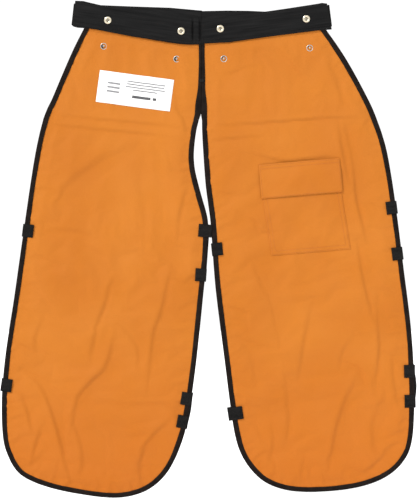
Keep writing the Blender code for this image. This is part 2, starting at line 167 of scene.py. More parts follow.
def lip_z(side, x):
    """The height of the waistband's lower edge over the cloth."""
    points = np.array(LIPS[side], float)
    return fold_z(side, x) + np.interp(x, points[:, 0], points[:, 1])


def fold_z(side, x):
    level, slope = fold_line(side)
    return level + slope * np.asarray(x)


HIP_Z = JOINTS["right_leg_swing"]["pos_m"][2] / MM
HIP_BEND = (HIP_Z + 24, HIP_Z - 24)


# ---------------------------------------------------------------- curves and fields

def cumulative(points):
    steps = np.linalg.norm(np.diff(points, axis=0), axis=1)
    return np.concatenate([[0], np.cumsum(steps)])


def resampled(points, step):
    """A smooth curve through the points, in even steps of about the given length."""
    p = np.asarray(points, float)
    keep = np.concatenate([[True], np.linalg.norm(np.diff(p, axis=0), axis=1) > 1e-6])
    p = p[keep]
    ends = np.vstack([2 * p[0] - p[1], p, 2 * p[-1] - p[-2]])
    dense = []
    for a, b, c, d in zip(ends, ends[1:], ends[2:], ends[3:]):
        length = np.linalg.norm(c - b)
        into = (c - a) / max(np.linalg.norm(c - b) + np.linalg.norm(b - a), 1e-9) * length
        out = (d - b) / max(np.linalg.norm(d - c) + np.linalg.norm(c - b), 1e-9) * length
        for t in np.arange(0, 1, 0.125):
            dense.append(
                (2 * t**3 - 3 * t**2 + 1) * b + (t**3 - 2 * t**2 + t) * into
                + (-2 * t**3 + 3 * t**2) * c + (t**3 - t**2) * out
            )
    dense = np.array([*dense, p[-1]])
    along = cumulative(dense)
    count = max(2, int(round(along[-1] / step)) + 1)
    wanted = np.linspace(0, along[-1], count)
    return np.stack([np.interp(wanted, along, dense[:, k]) for k in range(dense.shape[1])], axis=1)


def side_normals(path, side):
    """Unit vectors square to a leg's edge, pointing into the cloth."""
    step = np.gradient(path, axis=0)
    step /= np.linalg.norm(step, axis=1)[:, None]
    return CENTRE_SIGN[side] * np.stack([-step[:, 1], step[:, 0]], axis=1)


def shifted(path, side, distance):
    """A leg's edge moved into the cloth. The ends slide along the fold line, so the top stays straight."""
    normals = side_normals(path, side)
    distance = np.broadcast_to(distance, len(path))
    moved = path + distance[:, None] * normals
    along = np.array([1, fold_line(side)[1]])
    for i in (0, -1):
        moved[i] = path[i] + along * distance[i] / (normals[i] @ along)
    return moved


def near_tree(points):
    tree = kdtree.KDTree(len(points))
    for i, (x, z) in enumerate(points):
        tree.insert((x, z, 0), i)
    tree.balance()
    return tree


def distance_to(points, x, z):
    """How far each flat point is from the nearest of the path's points, and that point's index."""
    tree = near_tree(points)
    found = [tree.find((a, b, 0)) for a, b in zip(x, z)]
    return np.array([f[2] for f in found]), np.array([f[1] for f in found])


def smoothstep(low, high, value):
    t = np.clip((np.asarray(value, float) - low) / (high - low), 0, 1)
    return t * t * (3 - 2 * t)


def grain(x, z, size, seed):
    """Smooth noise from -1 to 1 with features of about the given size."""
    return np.array([noise.noise(Vector((a / size, b / size, seed))) for a, b in zip(x, z)])


def drape(x, z):
    """How far the whole cloth lies back from flat: it bellies a little, and hangs straight near the band."""
    x, z = np.asarray(x, float), np.asarray(z, float)
    hang = smoothstep(-40, -260, z)
    return hang * (0.6 * np.sin(x / 95 + 0.6) * np.sin(z / 170) + 0.35 * np.sin(z / 83 + x / 140))


# Creases in the legs: flat points along the crease, its half width, and how deep it is.
CREASES = {
    "right": [
        ([(-351, -627), (-322, -643), (-303, -670), (-290, -702), (-276, -751), (-265, -804)], 9, 5.0),
        ([(-359, -660), (-343, -692), (-332, -729), (-327, -751)], 7, 2.8),
        ([(-311, -735), (-324, -778), (-330, -810)], 6, 2.6),
        ([(-172, -568), (-185, -622), (-214, -649), (-238, -681), (-247, -713)], 10, 3.4),
        ([(-246, -730), (-231, -778), (-231, -836)], 12, 2.4),
        ([(-204, -547), (-217, -601)], 7, 1.8),
        ([(-178, -464), (-190, -505), (-206, -540)], 8, 2.2),
        ([(-147, -552), (-126, -579), (-123, -617)], 8, 2.0),
        ([(-66, -455), (-78, -510), (-91, -547), (-99, -606), (-105, -654)], 10, 2.2),
        ([(-64, -724), (-99, -761), (-118, -804), (-121, -836)], 11, 3.8),
        ([(-281, -299), (-261, -266), (-223, -237), (-172, -208), (-114, -202)], 17, 1.5),
        ([(-22, -262), (-34, -290), (-42, -322), (-46, -350)], 7, 2.0),
        ([(-277, -353), (-240, -356), (-205, -369)], 11, 1.3),
        ([(-240, -380), (-200, -398), (-178, -430)], 16, 1.2),
        ([(-336, -404), (-318, -402), (-298, -412)], 6, 1.6),
        ([(-349, -440), (-322, -462), (-306, -482)], 6, 1.6),
        ([(-52, -95), (-48, -120), (-36, -140), (-27, -160)], 6, 1.8),
        ([(-305, -520), (-322, -560), (-318, -600)], 10, 1.4),
    ],
    "left": [
        ([(138, 6), (165, -23), (185, -47), (200, -60)], 9, 2.4),
        ([(249, -37), (262, -60), (268, -86)], 13, 1.8),
        ([(91, -204), (123, -212), (161, -220), (193, -217), (252, -211)], 4.5, 2.4),
        ([(279, -161), (295, -225), (300, -290), (314, -354)], 7, 3.2),
        ([(265, -156), (273, -204), (284, -262)], 6, 2.4),
        ([(304, -400), (318, -470), (330, -520)], 8, 2.0),
        ([(86, -325), (107, -341), (115, -357), (131, -357)], 6, 2.4),
        ([(107, -440), (131, -488), (142, -526), (150, -582)], 10, 1.8),
        ([(51, -499), (86, -515), (91, -536)], 7, 2.2),
        ([(212, -505), (198, -570), (187, -644)], 11, 1.8),
        ([(301, -632), (268, -716), (245, -819)], 11, 3.2),
        ([(345, -690), (333, -740), (338, -800)], 13, 1.8),
        ([(72, -548), (84, -566), (98, -572)], 6, 1.2),
        ([(286, -566), (272, -592), (266, -618)], 6, 1.3),
        ([(352, -590), (374, -596), (398, -594)], 5, 1.0),
        ([(402, -706), (390, -722), (382, -742)], 6, 1.2),
        ([(340, -500), (345, -570), (336, -655)], 10, 2.4),
        ([(282, -610), (306, -622), (322, -660)], 8, 2.2),
        ([(70, -560), (96, -600), (104, -660)], 12, 1.6),
        ([(20, -268), (42, -282), (66, -284)], 6, 1.4),
        ([(372, -770), (345, -800), (310, -828)], 10, 2.8),
        ([(128, -700), (138, -760), (128, -815)], 11, 1.6),
        ([(88, -690), (104, -735), (122, -775)], 6, 1.2),
        ([(20, -30), (42, -52), (80, -40)], 8, 1.4),
        ([(160, -640), (168, -720), (158, -800)], 14, 1.6),
        ([(385, -560), (370, -620), (380, -690)], 9, 1.6),
    ],
}
# The tops of the padding pack press lines into each leg: flat points, half width and depth.
PAD_LINES = {
    "right": [
        ([(-300, -128), (-205, -138), (-95, -148), (-18, -158)], 4.5, 1.9),
        ([(-304, -147), (-205, -158), (-95, -169), (-22, -182)], 4.5, 1.8),
    ],
    "left": [
        ([(6, -152), (110, -146), (220, -138), (330, -134)], 4.5, 1.8),
        ([(8, -181), (60, -176), (112, -172)], 4.5, 2.2),
    ],
}


# The way each crease's steep side faces, so that the cloth lies over on itself the same way everywhere.
FALL = (0.8, -1.0)


def crease_height(x, z, creases):
    """The creases' height over the cloth: one steep side and one long easy side, fading to both ends."""
    total = np.zeros(len(x))
    for points, width, height in creases:
        path = resampled(points, 4.0)
        tangent = np.gradient(path, axis=0)
        tangent /= np.linalg.norm(tangent, axis=1)[:, None]
        (low_x, low_z), (high_x, high_z) = path.min(axis=0) - 4 * width, path.max(axis=0) + 4 * width
        near = np.flatnonzero((x > low_x) & (x < high_x) & (z > low_z) & (z < high_z))
        if not len(near):
            continue
        distance, nearest = distance_to(path, x[near], z[near])
        share = nearest / (len(path) - 1)
        fade = np.sin(np.pi * np.clip(share, 0.03, 0.97)) ** 0.6
        offset = np.stack([x[near], z[near]], axis=1) - path[nearest]
        across = offset[:, 0] * tangent[nearest, 1] - offset[:, 1] * tangent[nearest, 0]
        downhill = across * np.sign(np.sum(tangent[:, 1] * FALL[0] - tangent[:, 0] * FALL[1]))
        step = -0.5 * np.tanh(downhill / (0.4 * width)) * np.exp(-distance / (1.9 * width))
        total[near] += height * fade * (step - 0.3 * np.exp(-((distance / (0.6 * width)) ** 2)))
    return total


# ---------------------------------------------------------------- meshes

def new_object(name, points, faces, material, smooth=True):
    """A mesh piece from points in millimetres."""
    mesh = bpy.data.meshes.new(name)
    mesh.from_pydata([tuple(p) for p in np.asarray(points, float) * MM], [], [tuple(map(int, f)) for f in faces])
    mesh.materials.append(material)
    obj = bpy.data.objects.new(name, mesh)
    bpy.context.scene.collection.objects.link(obj)
    if smooth:
        mesh.shade_smooth()
    return obj


def applied(obj):
    """Makes the evaluated mesh the object's own, with no modifiers left."""
    bpy.context.view_layer.update()
    evaluated = obj.evaluated_get(bpy.context.evaluated_depsgraph_get())
    mesh = bpy.data.meshes.new_from_object(evaluated)
    obj.modifiers.clear()
    obj.data = mesh
    return obj


def facing(obj, direction):
    """Turns an open sheet's faces to one way."""
    mesh = obj.data
    shape = bmesh.new()
    shape.from_mesh(mesh)
    bmesh.ops.recalc_face_normals(shape, faces=shape.faces)
    total = sum((f.normal * f.calc_area() for f in shape.faces), Vector())
    if total.dot(Vector(direction)) < 0:
        bmesh.ops.reverse_faces(shape, faces=shape.faces)
    shape.to_mesh(mesh)
    shape.free()
    return obj


def thickened(obj, thickness, offset=0.0):
    solid = obj.modifiers.new("thickness", "SOLIDIFY")
    solid.thickness = thickness * MM
    solid.offset = offset
    solid.use_even_offset = False
    applied(obj)
    obj.data.shade_smooth()
    return obj


def outward(obj):
    shape = bmesh.new()
    shape.from_mesh(obj.data)
    bmesh.ops.recalc_face_normals(shape, faces=shape.faces)
    shape.to_mesh(obj.data)
    shape.free()
    return obj


def grid_faces(rows, columns, wrap=False):
    faces = []
    last = columns if wrap else columns - 1
    for r in range(rows - 1):
        for c in range(last):
            d = (c + 1) % columns
            faces.append((r * columns + c, r * columns + d, (r + 1) * columns + d, (r + 1) * columns + c))
    return faces


def inside(loop, x, z):
    """Which flat points lie inside the loop."""
    hit = np.zeros(len(x), bool)
    for (ax, az), (bx, bz) in zip(loop, np.roll(loop, -1, axis=0)):
        crossing = (az > z) != (bz > z)
        if crossing.any():
            at = ax + (z - az) * (bx - ax) / (bz - az + 1e-12)
            hit ^= crossing & (x < at)
    return hit


def filled(loop, spacing):
    """A flat triangle mesh of a loop, with even points inside: points and faces."""
    low, high = loop.min(axis=0), loop.max(axis=0)
    rows = np.arange(low[1], high[1], spacing * 0.866)
    lines = [np.arange(low[0] + (i % 2) * spacing / 2, high[0], spacing) for i in range(len(rows))]
    x = np.concatenate(lines)
    z = np.concatenate([np.full(len(line), row) for line, row in zip(lines, rows)])
    within = inside(loop, x, z)
    x, z = x[within], z[within]
    clear = distance_to(loop, x, z)[0] > 0.55 * spacing
    points = np.vstack([loop, np.stack([x[clear], z[clear]], axis=1)])
    n = len(loop)
    result = delaunay_2d_cdt([Vector(p) for p in points], [], [list(range(n))], 1, 1e-6)
    return np.array([tuple(v) for v in result[0]]), [tuple(f) for f in result[2]]


def strip(name, rails, material, thickness):
    """A sheet that runs from rail to rail, made thick."""
    rows = np.array(rails, float)
    obj = new_object(name, rows.reshape(-1, 3), grid_faces(*rows.shape[:2]), material)
    return thickened(outward(obj), thickness)


def lathe(name, profile, centre, material, steps=48):
    """A turned piece about the line through its centre along -Y: the profile is (radius, height) points."""
    turned = np.arange(steps) * math.tau / steps
    points, faces = [], []
    for radius, height in profile:
        for angle in turned:
            points.append((
                centre[0] + max(radius, 0.01) * math.cos(angle), centre[1] - height,
                centre[2] + max(radius, 0.01) * math.sin(angle),
            ))
    faces = grid_faces(len(profile), steps, wrap=True)
    faces.append(tuple(range(steps)))
    faces.append(tuple((len(profile) - 1) * steps + i for i in reversed(range(steps))))
    obj = outward(new_object(name, points, faces, material))
    obj.data.set_sharp_from_angle(angle=math.radians(50))
    return obj


def joined(name, pieces):
    """Several objects as one piece."""
    bpy.ops.object.select_all(action="DESELECT")
    for piece in pieces:
        piece.select_set(True)
    bpy.context.view_layer.objects.active = pieces[0]
    bpy.ops.object.join()
    pieces[0].name = name
    pieces[0].data.name = name
    return pieces[0]


STITCH = 3.2
STITCH_GAP = 0.9
THREAD = 0.34


def stitches(name, lines, material, pitch=STITCH, gap=STITCH_GAP, radius=THREAD, lift=0.25):
    """Lock stitches along each line of points, each one a short bowed thread."""
    ring = np.arange(6) * math.tau / 6
    points, faces = [], []
    for line in lines:
        line = np.asarray(line, float)
        along = cumulative(line)
        for start in np.arange(0.5, along[-1] - pitch + gap, pitch):
            t = start + np.linspace(0, pitch - gap, 4)
            core = np.stack([np.interp(t, along, line[:, k]) for k in range(3)], axis=1)
            core[:, 1] -= np.array([-0.25, 1, 1, -0.25]) * lift
            direction = core[-1] - core[0]
            length = np.linalg.norm(direction)
            if length < 1e-6:
                continue
            direction /= length
            side = np.cross(direction, (0, 1, 0))
            side /= max(np.linalg.norm(side), 1e-9)
            up = np.cross(side, direction)
            first = len(points)
            for spot, thick in zip(core, (0.55, 1, 1, 0.55)):
                for angle in ring:
                    points.append(spot + radius * thick * (math.cos(angle) * side + math.sin(angle) * up))
            faces += [tuple(first + i for i in f) for f in grid_faces(4, 6, wrap=True)]
            faces.append(tuple(first + i for i in reversed(range(6))))
            faces.append(tuple(first + 18 + i for i in range(6)))
    return outward(new_object(name, points, faces, material))


# ---------------------------------------------------------------- materials

class Look:
    """A material and short names for what its nodes need."""

    def __init__(self, name, roughness=0.6, metallic=0.0, **sockets):
        self.material = bpy.data.materials.new(name)
        self.material.use_nodes = True
        self.tree = self.material.node_tree
        self.shader = self.tree.nodes["Principled BSDF"]
        self.set("Roughness", roughness)
        self.set("Metallic", metallic)
        for socket, value in sockets.items():
            self.set(socket.replace("_", " "), value)
        self.coordinates = self.tree.nodes.new("ShaderNodeTexCoord").outputs["Object"]

    def set(self, socket, value):
        self.shader.inputs[socket].default_value = value

    def node(self, kind, settings=None, **inputs):
        made = self.tree.nodes.new(kind)
        for key, value in (settings or {}).items():
            setattr(made, key, value)
        for key, value in inputs.items():
            socket = made.inputs[key.replace("_", " ")]
            if isinstance(value, bpy.types.NodeSocket):
                self.tree.links.new(value, socket)
            else:
                socket.default_value = value
        return made

    def link(self, output, socket):
        self.tree.links.new(output, self.shader.inputs[socket])

    def turned(self, degrees_about_y=0.0, scale=(1, 1, 1)):
        turned = self.node("ShaderNodeMapping", Vector=self.coordinates, Rotation=(0, math.radians(degrees_about_y), 0))
        return self.node("ShaderNodeMapping", Vector=turned.outputs[0], Scale=scale).outputs[0]

    def noise(self, scale, detail=2.0, vector=None, roughness=0.5):
        return self.node(
            "ShaderNodeTexNoise", Vector=vector or self.coordinates, Scale=scale, Detail=detail, Roughness=roughness
        ).outputs["Fac"]

    def wave(self, pitch, direction, vector=None, distortion=0.0, detail=1.0):
        """Even ribs with the given spacing in millimetres."""
        scale = math.tau / 20 / (pitch * MM)
        return self.node(
            "ShaderNodeTexWave", {"wave_type": "BANDS", "bands_direction": direction, "wave_profile": "SIN"},
            Vector=vector or self.coordinates, Scale=scale, Distortion=distortion, Detail=detail,
        ).outputs["Fac"]

    def maths(self, operation, a, b):
        made = self.node("ShaderNodeMath", {"operation": operation})
        for i, value in enumerate((a, b)):
            if isinstance(value, bpy.types.NodeSocket):
                self.tree.links.new(value, made.inputs[i])
            else:
                made.inputs[i].default_value = value
        return made.outputs[0]

    def range(self, value, low, high, to_low=0.0, to_high=1.0):
        made = self.node("ShaderNodeMapRange", Value=value)
        for key, number in (("From Min", low), ("From Max", high), ("To Min", to_low), ("To Max", to_high)):
            made.inputs[key].default_value = number
        return made.outputs["Result"]

    def mix(self, share, a, b, mode="MIX"):
        made = self.node("ShaderNodeMix", {"data_type": "RGBA", "blend_type": mode})
        for socket, value in ((made.inputs[0], share), (made.inputs[6], a), (made.inputs[7], b)):
            if isinstance(value, bpy.types.NodeSocket):
                self.tree.links.new(value, socket)
            else:
                socket.default_value = (*value, 1) if isinstance(value, tuple) else value
        return made.outputs[2]

    def bump(self, height, strength, distance, after=None):
        made = self.node("ShaderNodeBump", Height=height, Strength=strength, Distance=distance * MM)
        if after is not None:
            self.tree.links.new(after, made.inputs["Normal"])
        return made.outputs["Normal"]


def cloth_look():
    """Orange shell cloth: a tight plain weave, slightly uneven dye, redder towards the hem."""
    look = Look("orange_cloth", roughness=0.72, Sheen_Weight=0.04, Sheen_Roughness=0.45, Specular_IOR_Level=0.2)
    patches = look.range(look.noise(5.0, 3.0), 0.35, 0.68)
    base = look.mix(patches, (0.442, 0.129, 0.0098), (0.486, 0.153, 0.0142))
    height = look.node("ShaderNodeSeparateXYZ", Vector=look.coordinates).outputs["Z"]
    base = look.mix(look.range(height, -0.56, -0.88), base, (0.452, 0.121, 0.0083))
    threads = look.range(look.noise(900, 2.0), 0.3, 0.7, 0.965, 1.035)
    grey = look.node("ShaderNodeCombineColor", Red=threads, Green=threads, Blue=threads).outputs[0]
    base = look.mix(1.0, base, grey, "MULTIPLY")
    look.link(base, "Base Color")
    weave = look.maths("MULTIPLY", look.wave(0.9, "X"), look.wave(0.9, "Z"))
    surface = look.bump(weave, 0.22, 0.12)
    surface = look.bump(look.noise(70, 4.0), 0.25, 0.5, surface)
    look.link(surface, "Normal")
    look.link(look.range(look.noise(18, 3.0), 0.3, 0.7, 0.66, 0.8), "Roughness")
    return look.material


def dark_cloth_look(name, dark, light, pitch, turn=0.0, streaks=(1, 1, 1), rough=(0.62, 0.82), rib="X"):
    """Black woven goods: ribs across and streaks along. The raised yarn of the weave is painted lighter and the gaps
    darker, a painted highlight and painted shade at the scale of the threads.
    """
    look = Look(name, roughness=0.7, Sheen_Weight=0.0, Sheen_Roughness=0.4, Specular_IOR_Level=0.06)
    vector = look.turned(turn)
    ribs = look.wave(pitch, rib, vector, distortion=0.4)
    cross = look.wave(pitch * 1.3, "Z" if rib == "X" else "X", vector, distortion=0.4)
    weave = look.maths("MULTIPLY", ribs, cross)
    streak = look.noise(60, 4.0, look.turned(turn, streaks))
    # Painted highlight and shade: the colour goes lighter where the weave stands up and darker between the threads.
    tone = look.maths("MULTIPLY", look.range(streak, 0.3, 0.72), look.range(weave, 0.0, 1.0, 0.45, 1.0))
    look.link(look.mix(tone, dark, light), "Base Color")
    look.link(look.bump(streak, 0.3, 0.25, look.bump(weave, 0.5, 0.2)), "Normal")
    look.link(look.range(streak, 0.3, 0.7, *rough), "Roughness")
    return look.material


def pad_look():
    look = Look("pad_fibre", roughness=0.9, Sheen_Weight=0.3, Specular_IOR_Level=0.2)
    ribs = look.wave(3.0, "X", distortion=0.8)
    tone = look.mix(look.noise(120, 3.0), (0.60, 0.57, 0.46), (0.74, 0.71, 0.6))
    look.link(look.mix(look.maths("MULTIPLY", ribs, 0.35), tone, (0.48, 0.45, 0.36)), "Base Color")
    look.link(look.bump(ribs, 0.5, 0.4), "Normal")
    return look.material


def label_look():
    look = Look("label_white", roughness=0.55, Sheen_Weight=0.05)
    look.link(look.mix(look.noise(40, 2.0), (0.83, 0.83, 0.82), (0.89, 0.89, 0.885)), "Base Color")
    look.link(look.bump(look.maths("ADD", look.wave(0.5, "X"), look.wave(0.5, "Z")), 0.15, 0.05), "Normal")
    return look.material


def plain_look(name, low, high, scale, roughness, bump=0.1, distance=0.1, **sockets):
    """A surface whose colour wanders between two tones, with a fine grain."""
    look = Look(name, roughness=roughness, **sockets)
    spots = look.noise(scale, 3.0)
    look.link(look.mix(look.range(spots, 0.32, 0.68), low, high), "Base Color")
    look.link(look.bump(look.noise(scale * 4, 3.0), bump, distance), "Normal")
    wear = look.range(look.noise(scale * 1.7, 2.0), 0.3, 0.7, roughness * 0.85, min(1, roughness * 1.2))
    look.link(wear, "Roughness")
    return look.material


ORANGE = cloth_look()
LINING = dark_cloth_look("lining_cloth", (0.011, 0.011, 0.0115), (0.027, 0.027, 0.029), 1.1)
BINDING = dark_cloth_look("binding_twill", (0.0058, 0.0037, 0.0029), (0.0215, 0.0148, 0.0120), 0.9)
BANDS = {
    side: dark_cloth_look(
        f"{side}_band_webbing", (0.0042, 0.0042, 0.0043), (0.020, 0.0195, 0.0195), 1.6,
        math.degrees(math.atan(fold_line(side)[1])), streaks=(0.25, 1, 6.0),
    )
    for side in SIDES
}
WEBBING = dark_cloth_look(
    "strap_webbing", (0.0052, 0.0050, 0.0048), (0.019, 0.018, 0.0175), 1.5, streaks=(0.4, 1, 3.0)
)
PAD = pad_look()
LABEL = label_look()
INK = plain_look("label_ink", (0.05, 0.05, 0.055), (0.09, 0.09, 0.095), 300, 0.6)
GREY_INK = plain_look("label_grey_ink", (0.20, 0.20, 0.21), (0.28, 0.28, 0.29), 300, 0.6)
TINT = plain_look("label_border", (0.62, 0.70, 0.62), (0.78, 0.76, 0.66), 60, 0.6)
BRASS = plain_look("snap_brass", (0.66, 0.58, 0.42), (0.80, 0.73, 0.58), 400, 0.28, 0.05, Metallic=1.0)
STEEL = plain_look("snap_steel", (0.40, 0.39, 0.36), (0.56, 0.55, 0.52), 400, 0.3, 0.05, Metallic=1.0)
# Painted shade: the inside of each snap socket is coloured dark for the shade in its hollow.
SOCKET_WELL_SHADE = plain_look("snap_well_painted_shade", (0.10, 0.092, 0.078), (0.17, 0.155, 0.13), 300, 0.5, Metallic=0.4)
# Painted shade: near black, for the shade in the hollow round each snap stud's post.
STUD_RECESS_SHADE = plain_look("snap_recess_painted_shade", (0.012, 0.010, 0.009), (0.035, 0.03, 0.026), 300, 0.6, Metallic=0.3)
PLASTIC = plain_look("buckle_plastic", (0.012, 0.012, 0.012), (0.024, 0.024, 0.025), 500, 0.42, 0.2, 0.05)
BLACK_THREAD = plain_look(
    "black_thread", (0.009, 0.0085, 0.008), (0.028, 0.026, 0.024), 900, 0.7, 0.4, 0.1, Specular_IOR_Level=0.1
)
WHITE_THREAD = plain_look("white_thread", (0.62, 0.62, 0.6), (0.75, 0.75, 0.73), 900, 0.6, 0.4, 0.1)
ORANGE_THREAD = plain_look("orange_thread", (0.44, 0.125, 0.012), (0.50, 0.155, 0.016), 900, 0.6, 0.4, 0.1)
HOOK_TAPE = plain_look("touch_tape", (0.34, 0.10, 0.02), (0.47, 0.15, 0.03), 1500, 0.95, 1.0, 0.6)


# ---------------------------------------------------------------- legs

EDGES = {side: resampled(leg_edge(side), 3.0) for side in SIDES}
CUTS = {side: shifted(EDGES[side], side, -1.2) for side in SIDES}  # the binding's outer line
PANEL_STEP = 4.2
EDGE_GRIP = 8.5  # how far in from the edge the binding holds the cloth


def crosses_hip(obj, side):
    """Cloth that runs from the yoke onto a leg, with its place baked into its mesh."""
    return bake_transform(obj, "yoke", f"{side}_leg", start=(0, 0, HIP_BEND[0] * MM), end=(0, 0, HIP_BEND[1] * MM))


def edge_creases(side):
    """Short creases that run in from the binding, where its seam gathers the cloth."""
    random = np.random.default_rng(11 if side == "right" else 23)
    cut, normals = CUTS[side], side_normals(CUTS[side], side)
    creases, at = [], 12
    while at < len(cut) - 10:
        low = smoothstep(-100, -420, cut[at][1])
        length = random.uniform(14, 30) + low * random.uniform(0, 30)
        lean = math.radians(random.uniform(-38, 38))
        inward = normals[at]
        inward = np.array([
            inward[0] * math.cos(lean) - inward[1] * math.sin(lean),
            inward[0] * math.sin(lean) + inward[1] * math.cos(lean),
        ])
        start, sideways = cut[at] + 7 * inward, np.array([-inward[1], inward[0]])
        bend = random.uniform(-0.2, 0.2) * length
        points = [start, start + inward * length / 2 + sideways * bend, start + inward * length]
        creases.append((points, random.uniform(3.5, 6.5), random.uniform(0.35, 0.85) * (0.5 + 0.7 * low)))
        at += int(random.integers(4, 12))
    return creases


def puckers(side, x, z, reach):
    """Small gathers where the binding's seam takes up the cloth."""
    distance, nearest = distance_to(CUTS[side], x, z)
    spot = nearest * 3.0
    gathers = np.array([
        noise.noise(Vector((s / 17.0, 3.1, 0))) + 0.6 * noise.noise(Vector((s / 7.0, 8.7, 0))) for s in spot
    ])
    return 0.9 * gathers * np.exp(-(((distance - 12) / reach) ** 2)), distance


def shell_height(side, x, z):
    """How far the shell cloth stands forward of where it lies flat."""
    gathers, distance = puckers(side, x, z, 11.0)
    free = smoothstep(EDGE_GRIP, 34, distance)
    low = smoothstep(-70, -420, z)
    waves = 0.9 * grain(x, z, 62, 1.7) + 0.35 * grain(x, z, 24, 5.1)
    height = (0.5 + 0.5 * low) * waves + 1.9 * crease_height(x, z, CREASES[side])
    gathers = gathers + crease_height(x, z, edge_creases(side))
    pads = crease_height(x, z, PAD_LINES[side])
    ease = smoothstep(0, 16, fold_z(side, x) - z)
    return ease * (free * (height + 1.7 * pads + 1.6) + 2.2 * gathers * smoothstep(5, 14, distance))


def simulated(obj, pinned, grow=0.006, frames=26, cap=2.6):
    """Lets a sheet of slightly over-long cloth buckle between its pinned points, and caps how far it moves."""
    rest = np.array([v.co for v in obj.data.vertices])
    group = obj.vertex_groups.new(name="held")
    for index, weight in enumerate(pinned):
        if weight > 0.001:
            group.add([index], float(weight), "REPLACE")
    cloth = obj.modifiers.new("cloth", "CLOTH")
    settings = cloth.settings
    settings.quality = 5
    settings.mass = 0.25
    settings.tension_stiffness = 25
    settings.compression_stiffness = 25
    settings.shear_stiffness = 12
    settings.bending_stiffness = 0.4
    settings.vertex_group_mass = "held"
    settings.pin_stiffness = 1.0
    settings.shrink_min = -grow
    settings.effector_weights.gravity = 0
    cloth.collision_settings.use_collision = False
    scene = bpy.context.scene
    cloth.point_cache.frame_start, cloth.point_cache.frame_end = 1, frames
    for step in range(1, frames + 1):
        scene.frame_set(step)
    applied(obj)
    scene.frame_set(1)
    moved = np.array([v.co for v in obj.data.vertices]) - rest
    size = np.linalg.norm(moved, axis=1)
    limit = cap * MM
    kept = moved * (limit * np.tanh(size / limit) / np.maximum(size, 1e-9))[:, None]
    obj.data.vertices.foreach_set("co", (rest + kept).astype(np.float32).ravel())
    obj.data.update()
    return obj


def held_by_sewing(side, x, z, distance):
    """How firmly each point of the shell is held: by the binding and the band."""
    held = 1 - smoothstep(EDGE_GRIP, EDGE_GRIP + 4, distance)
    held = np.maximum(held, 1 - smoothstep(4, 9, fold_z(side, x) - z))
    return np.maximum(held, 0.06)


def shell(side):
    """The orange cloth of one leg, from the waistband to the hem."""
    loop = shifted(EDGES[side], side, 0.0)
    along = np.linspace(0, 1, 46)[1:-1, None]
    top = loop[-1] + (loop[0] - loop[-1]) * along
    border = np.vstack([loop[::2], top])
    flat, faces = filled(border, PANEL_STEP)
    x, z = flat[:, 0], flat[:, 1]
    height = shell_height(side, x, z)
    y = drape(x, z) - np.maximum(height, -0.25)
    obj = facing(new_object(f"{side}_shell_cloth", np.stack([x, y, z], axis=1), faces, ORANGE), (0, -1, 0))
    distance = distance_to(CUTS[side], x, z)[0]
    simulated(obj, held_by_sewing(side, x, z, distance))
    co = np.array([v.co for v in obj.data.vertices])
    co[:, 1] = np.minimum(co[:, 1], (drape(co[:, 0] / MM, co[:, 2] / MM) + 0.3) * MM)
    obj.data.vertices.foreach_set("co", co.astype(np.float32).ravel())
    return obj


def surface_reader(obj):
    """A function that gives the Y of the cloth's front at flat points."""
    co = np.array([v.co for v in obj.data.vertices]) / MM
    tree = near_tree(co[:, [0, 2]])

    def read(x, z):
        found = []
        for a, b in zip(np.atleast_1d(x), np.atleast_1d(z)):
            near = tree.find_n((a, b, 0), 3)
            weights = np.array([1 / (d + 0.5) for _, _, d in near])
            found.append(float(np.array([co[i, 1] for _, i, _ in near]) @ weights / weights.sum()))
        return np.array(found)

    return read


def lining(side):
    """The lining behind one leg. It steps back over the pads, and is quilted to nothing, so it hangs nearly flat."""
    border = shifted(EDGES[side], side, 0.3)[::2]
    flat, faces = filled(border, 11.0)
    x, z = flat[:, 0], flat[:, 1]
    distance = distance_to(CUTS[side], x, z)[0]
    yoke_y = cad_box(f"{side}_yoke_lining")[0][1] + 0.3
    leg_y = cad_box(f"{side}_leg_lining")[0][1] + 0.3
    depth = leg_y + (yoke_y - leg_y) * smoothstep(HIP_Z - 10, HIP_Z + 22, z)
    soft = smoothstep(9, 30, distance) * (0.5 * grain(x, z, 48, 9.3) + 0.35 * grain(x, z, 20, 2.2))
    y = depth + 0.25 + drape(x, z) + 0.3 * soft
    obj = facing(new_object(f"{side}_lining_cloth", np.stack([x, y, z], axis=1), faces, LINING), (0, 1, 0))
    return thickened(obj, 0.5)


def centre_gap(side, x, z):
    """How far this leg's inner edge lies from the other's at the same height, near the centre seam."""
    other = CUTS[SIDES[1 - SIDES.index(side)]]
    near = other[(np.abs(other[:, 0]) < 45) & (other[:, 1] > -220)]
    order = np.argsort(near[:, 1])
    return np.abs(np.interp(z, near[order, 1], near[order, 0]) - x)


def tape_rails(side, path, first=0):
    """The cross-section of the edge tape along a path: from the front's inner line round to the back's."""
    x, z = path[:, 0], path[:, 1]
    spot = (first + np.arange(len(path))) * 3.0
    wander = np.array([noise.noise(Vector((s / 45.0, 0.4, 2.0))) for s in spot])
    ruffle = np.array([noise.noise(Vector((s / 13.0, 1.4, 4.0))) for s in spot])
    thick_back = cad_box(f"{side}_leg_binding")[1][1]
    thin_back = cad_box(f"{side}_yoke_side_binding")[1][1]
    back = thick_back + (thin_back - thick_back) * smoothstep(HIP_Z - 26, HIP_Z + 4, z)
    front = cad_box(f"{side}_leg_binding")[0][1]
    centre = (np.abs(x) < 45).astype(float)
    reach = np.clip(centre_gap(side, x, z) / 2 + 0.3, 0, 4.5)  # the two legs' tapes lie together as one strip
    closing = centre * smoothstep(-142, -124, z) * reach
    width = 10.0 + 0.8 * wander - 4.9 * centre * smoothstep(-118, -72, z)
    rails = []
    for across, deep, bulge in TAPE_SECTION:
        flat = shifted(path, side, width * across + 0.35 - closing * (1 - across))
        y = front + 0.3 + (back - front - 0.6) * deep + bulge * 0.8 + 0.3 * ruffle * (across > 0.4) * (0.5 - deep)
        rails.append(np.stack([flat[:, 0], y + drape(x, z), flat[:, 1]], axis=1))
    return rails


